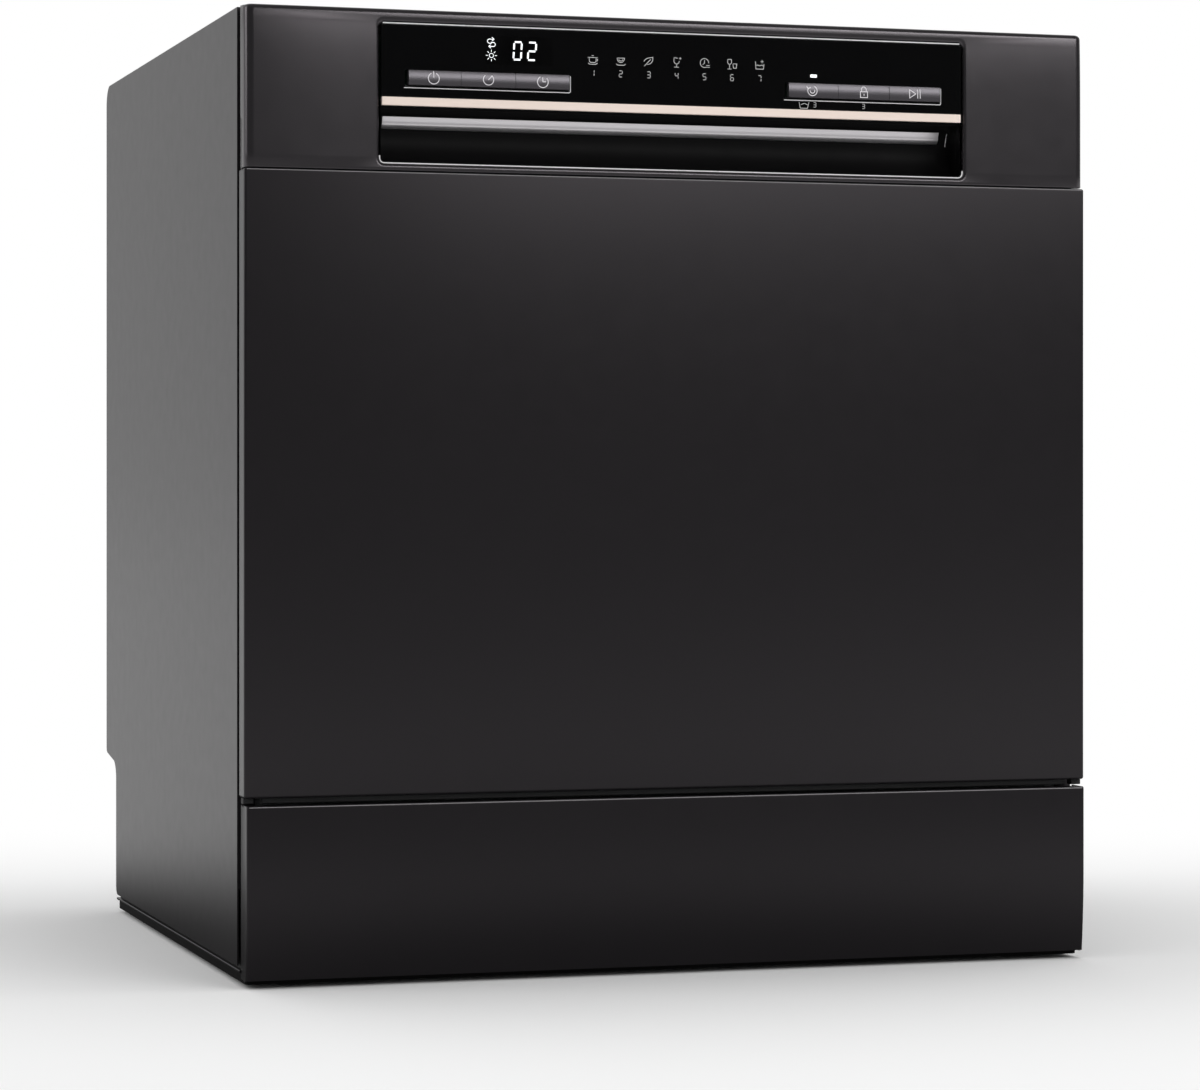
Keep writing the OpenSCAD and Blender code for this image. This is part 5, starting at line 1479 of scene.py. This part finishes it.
# %% Lamp and signs at the right row
LAMP_X, LAMP_Z = 89.9, 562.6
LAMP_HALF = (2.2, 0.95)
LAMP_ROUND = 0.35
LAMP_PROUD, LAMP_SUNK = 0.05, 0.3
lamp_sides = (LAMP_X - LAMP_HALF[0], LAMP_X + LAMP_HALF[0], LAMP_Z - LAMP_HALF[1], LAMP_Z + LAMP_HALF[1])
lamp_outline = oblong(*[v * MM for v in (*lamp_sides, LAMP_ROUND)], 3)
lamp_form = drawn_out(lamp_outline, "y", window_low.y - LAMP_PROUD * MM, window_low.y + LAMP_SUNK * MM)
extra_lamp = add_object("extra_lamp", lamp_form, "white_plastic", "door")
extra_lamp.data.materials[0] = finishes["lit_white"]
bib = [
    ([(-3.4, 1.9), (-2.6, -1.9), (2.2, -1.9), (3.2, 1.9)], False),
    ([(-2.2, 0.4), (0.2, 1.2), (2.4, 0.2)], False),
]
SIGN_PLACE = (83.6, 544.0)
SIGN_STROKE, HOLD_STROKE = 0.36, 0.32
HOLD_SIZE = (1.7, 2.9)
HOLD_LEFT, HOLD_Z = 0.8, 543.0
ink("extra_sign", bib, SIGN_STROKE, PANE_Y, "door", "icon_grey", at=SIGN_PLACE)
for name, x in (("extra_hold", 90.6), ("lock_hold", 123.4)):
    held = digit(3, x - HOLD_LEFT, HOLD_Z, *HOLD_SIZE, LABEL_LEAN)
    ink(name, held, HOLD_STROKE, PANE_Y, "door", "icon_grey")
print("lamp at", (LAMP_X, LAMP_Z), "and three signs")

# %% [markdown]
# ## The inside of the door
# The inner door is one stainless sheet, pressed over a die: a flat flange, a box that rises from it and a
# dish in the middle, with every corner and every fold rounded because steel can't be pressed sharp. A
# pressing is easy to model as rings: each ring is a rounded rectangle with its own size, corner and depth,
# all rings have as many points, and faces join one to the next. A fold is a few rings that follow a quarter
# round.

# %% Pressing helpers
FOLD_STEPS = 4


def fold(first, last, swing):
    """Rings that turn between two (half width, low, high, corner, depth) rings with a quarter round."""
    rings = []
    for k in range(FOLD_STEPS + 1):
        a = math.radians(90 * k / FOLD_STEPS)
        across, down = 1 - math.cos(a), math.sin(a)
        if swing == "over":
            across, down = down, across
        ring = [p + (q - p) * across for p, q in zip(first[:4], last[:4])]
        ring.append(first[4] + (last[4] - first[4]) * down)
        rings.append(ring)
    return rings


def pressed(name, rings, slot_name, body, thickness):
    """A sheet pressed through a row of rings, given its thickness away from the side that shows."""
    form = bmesh.new()
    last = None
    for half, low, high, corner, d in rings:
        points = oblong(-half * MM, half * MM, low * MM, high * MM, corner * MM, 5)
        ring = [form.verts.new((u, depth(d), v)) for u, v in points]
        if last:
            stitch(form, last, ring)
        last = ring
    bmesh.ops.recalc_face_normals(form, faces=form.faces)
    piece = add_object(name, as_mesh(form, name), slot_name, body, 50)
    wall = piece.modifiers.new("sheet", "SOLIDIFY")
    wall.thickness = thickness
    bake(piece)
    return piece


def round_cutter(x, d, r, z):
    """A post to cut with, upright on (x, d), between two heights, in millimetres."""
    points = [(x * MM + p[0], depth(d) + p[1]) for p in arc(0, 0, r * MM, 0, 345, 23)]
    return drawn_out(points, "z", z[0] * MM, z[1] * MM)


print("a fold takes", FOLD_STEPS, "steps")

# %% [markdown]
# The rings of the liner run from the flange, over the box, into the dish and across a shallow step to the
# opening of the dispenser. A hole at the top takes the catch, and a notch at each lower corner lets a hinge
# arm pass.

# %% Door liner
liner_low, liner_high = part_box("door_inner_liner")
FLANGE_D, LINER_D, DISH_D, SWAGE = 16.0, 44.0, 36.0, 1.0
# Half width, low, high and corner radius of a ring, in millimetres
BOX = (254.0, 126.0, 585.0, 14.0)
DISH = (228.0, 165.0, 540.0, 20.0)
PRESS_R = 3.0
WINDOW = (100.0, 340.0, 430.0, 3.0)
LINER_ROUND = 2.0
LINER_T = 0.9 * MM
LEAST_ROUND = 0.6
CATCH_HOLE = ((-10.5, 10.5), (30, 50), (570, 580))
NOTCH_X, NOTCH_D, NOTCH_Z = (248, 280), (0, 16.5), (100, 133.9)


def grown(ring, by, d):
    """A ring grown all round by some millimetres, at a depth."""
    half, low, high, corner = ring
    return [half + by, low - by, high + by, max(LEAST_ROUND, corner + by), d]


liner_rings = [[liner_high.x / MM, liner_low.z / MM, liner_high.z / MM, LINER_ROUND, FLANGE_D]]
liner_rings += fold(grown(BOX, PRESS_R, FLANGE_D), grown(BOX, 0, FLANGE_D + PRESS_R), "over")
liner_rings += fold(grown(BOX, 0, LINER_D - PRESS_R), grown(BOX, -PRESS_R, LINER_D), "in")
liner_rings += fold(grown(DISH, PRESS_R, LINER_D), grown(DISH, 0, LINER_D - PRESS_R), "over")
liner_rings += fold(grown(DISH, 0, DISH_D + PRESS_R), grown(DISH, -PRESS_R, DISH_D), "in")
for by, share in ((-14, 0), (-15, 0.5), (-17, 1)):
    liner_rings.append(grown(DISH, by, DISH_D + SWAGE * share))
for by, share in ((14, 1), (12, 0.5), (11, 0), (0, 0)):
    liner_rings.append(grown(WINDOW, by, DISH_D + SWAGE * share))
door_liner = pressed("door_liner", liner_rings, "stainless", "door", LINER_T)
notches = [block(x, NOTCH_D, NOTCH_Z) for x in (NOTCH_X, (-NOTCH_X[1], -NOTCH_X[0]))]
carve(door_liner, [block(*CATCH_HOLE)] + notches)
door_liner.data.set_sharp_from_angle(angle=math.radians(50))
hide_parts("door_inner_liner")
print(door_liner.name, "faces", len(door_liner.data.polygons))

# %% [markdown]
# ## The tub
# The tub is a stainless box welded from a wrapper and a back. Its section steps in at the foot, which makes
# the ledges that the lower rack rolls on, and two shallow beads run along each side wall to keep it from
# drumming. Here the section is an outline with a radius at each corner. It is drawn to the back, where it
# turns in with a wide round and closes. The flange round the mouth is a plate of its own, cut with the same
# outline.

# %% Tub skin
TUB_X, TUB_FLOOR, TUB_ROOF = 241.8, 149.2, 560.0
TUB_MOUTH, TUB_END = 49.0, 467.8
LEDGE_IN, LEDGE_TOP = 219.8, 169.05
BEAD_ZS = (255.0, 345.0)
BEAD_DEEP, BEAD_HALF, BEAD_FLAT, BEAD_ROUND = 1.6, 9.0, 0.4, 3
FOOT_ROUND, STEP_ROUND, LEDGE_ROUND, ROOF_ROUND = 6, 2.4, 7, 10.8
BACK_R, BACK_STEPS = 9.0, 5
TUB_T = 0.8 * MM
FLOOR_CUT = (140, 155)
FLANGE_X, FLANGE_Z, FLANGE_ROUND = 268.5, (139, 575.2), 2
FLANGE_T = 1.2
FLANGE_EDGE = 0.3 * MM
MOUTH_CUT = (45, 55)


def tub_outline(i):
    """Width and height round the inside of the tub, drawn in by i millimetres."""
    x, wall = TUB_X - i, []
    for z in BEAD_ZS:
        wall += [(x, z - BEAD_HALF, BEAD_ROUND), (x + BEAD_DEEP, z - BEAD_HALF * BEAD_FLAT, BEAD_ROUND)]
        wall += [(x + BEAD_DEEP, z + BEAD_HALF * BEAD_FLAT, BEAD_ROUND), (x, z + BEAD_HALF, BEAD_ROUND)]
    foot, ledge, roof = (max(LEAST_ROUND, r - i) for r in (FOOT_ROUND, LEDGE_ROUND, ROOF_ROUND))
    right = [(LEDGE_IN - i, TUB_FLOOR + i, foot), (LEDGE_IN - i, LEDGE_TOP + i, STEP_ROUND)]
    right += [(x, LEDGE_TOP + i, ledge)] + wall + [(x, TUB_ROOF - i, roof)]
    corners = right + [(-u, v, r) for u, v, r in reversed(right)]
    return outline([(u * MM, v * MM, r * MM) for u, v, r in corners], 4)


def tub_skin():
    """The wrapper and its rounded back."""
    form = bmesh.new()
    stations = [(0, TUB_MOUTH), (0, TUB_END - BACK_R)]
    for k in range(1, BACK_STEPS + 1):
        a = math.radians(90 * k / BACK_STEPS)
        stations.append((BACK_R * (1 - math.cos(a)), TUB_END - BACK_R + BACK_R * math.sin(a)))
    last = None
    for i, d in stations:
        ring = [form.verts.new((u, depth(d), v)) for u, v in tub_outline(i)]
        if last:
            stitch(form, last, ring)
        last = ring
    back = form.faces.new(last)
    bmesh.ops.triangulate(form, faces=[back])
    bmesh.ops.recalc_face_normals(form, faces=form.faces)
    return as_mesh(form, "tub_skin")


tub_inside = add_object("tub_skin", tub_skin(), "stainless", "cabinet", 40)
wall = tub_inside.modifiers.new("sheet", "SOLIDIFY")
wall.thickness = TUB_T
wall.offset = 1
bake(tub_inside)
floor_holes = {
    "filter": (80, 175, 53),
    "spray arm": (0, 255, 13),
    "salt neck": (170, 112, 26.5),
    "float": (-180, 112, 4.2),
    "duct": (0, 453.8, 10.5),
}
carve(tub_inside, [round_cutter(*hole, FLOOR_CUT) for hole in floor_holes.values()])
tub_inside.data.set_sharp_from_angle(angle=math.radians(40))
flange_sides = (-FLANGE_X, FLANGE_X, *FLANGE_Z, FLANGE_ROUND)
flange_outer = oblong(*[v * MM for v in flange_sides], 3)
flange_form = drawn_out(flange_outer, "y", depth(TUB_MOUTH), depth(TUB_MOUTH + FLANGE_T))
tub_flange = add_object("tub_flange", flange_form, "stainless", "cabinet")
mouth_cutter = drawn_out(tub_outline(0.2), "y", depth(MOUTH_CUT[0]), depth(MOUTH_CUT[1]))
carve(tub_flange, [mouth_cutter])
soften(tub_flange, FLANGE_EDGE, 2)
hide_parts("tub")
print(tub_inside.name, "faces", len(tub_inside.data.polygons), "holes", list(floor_holes))
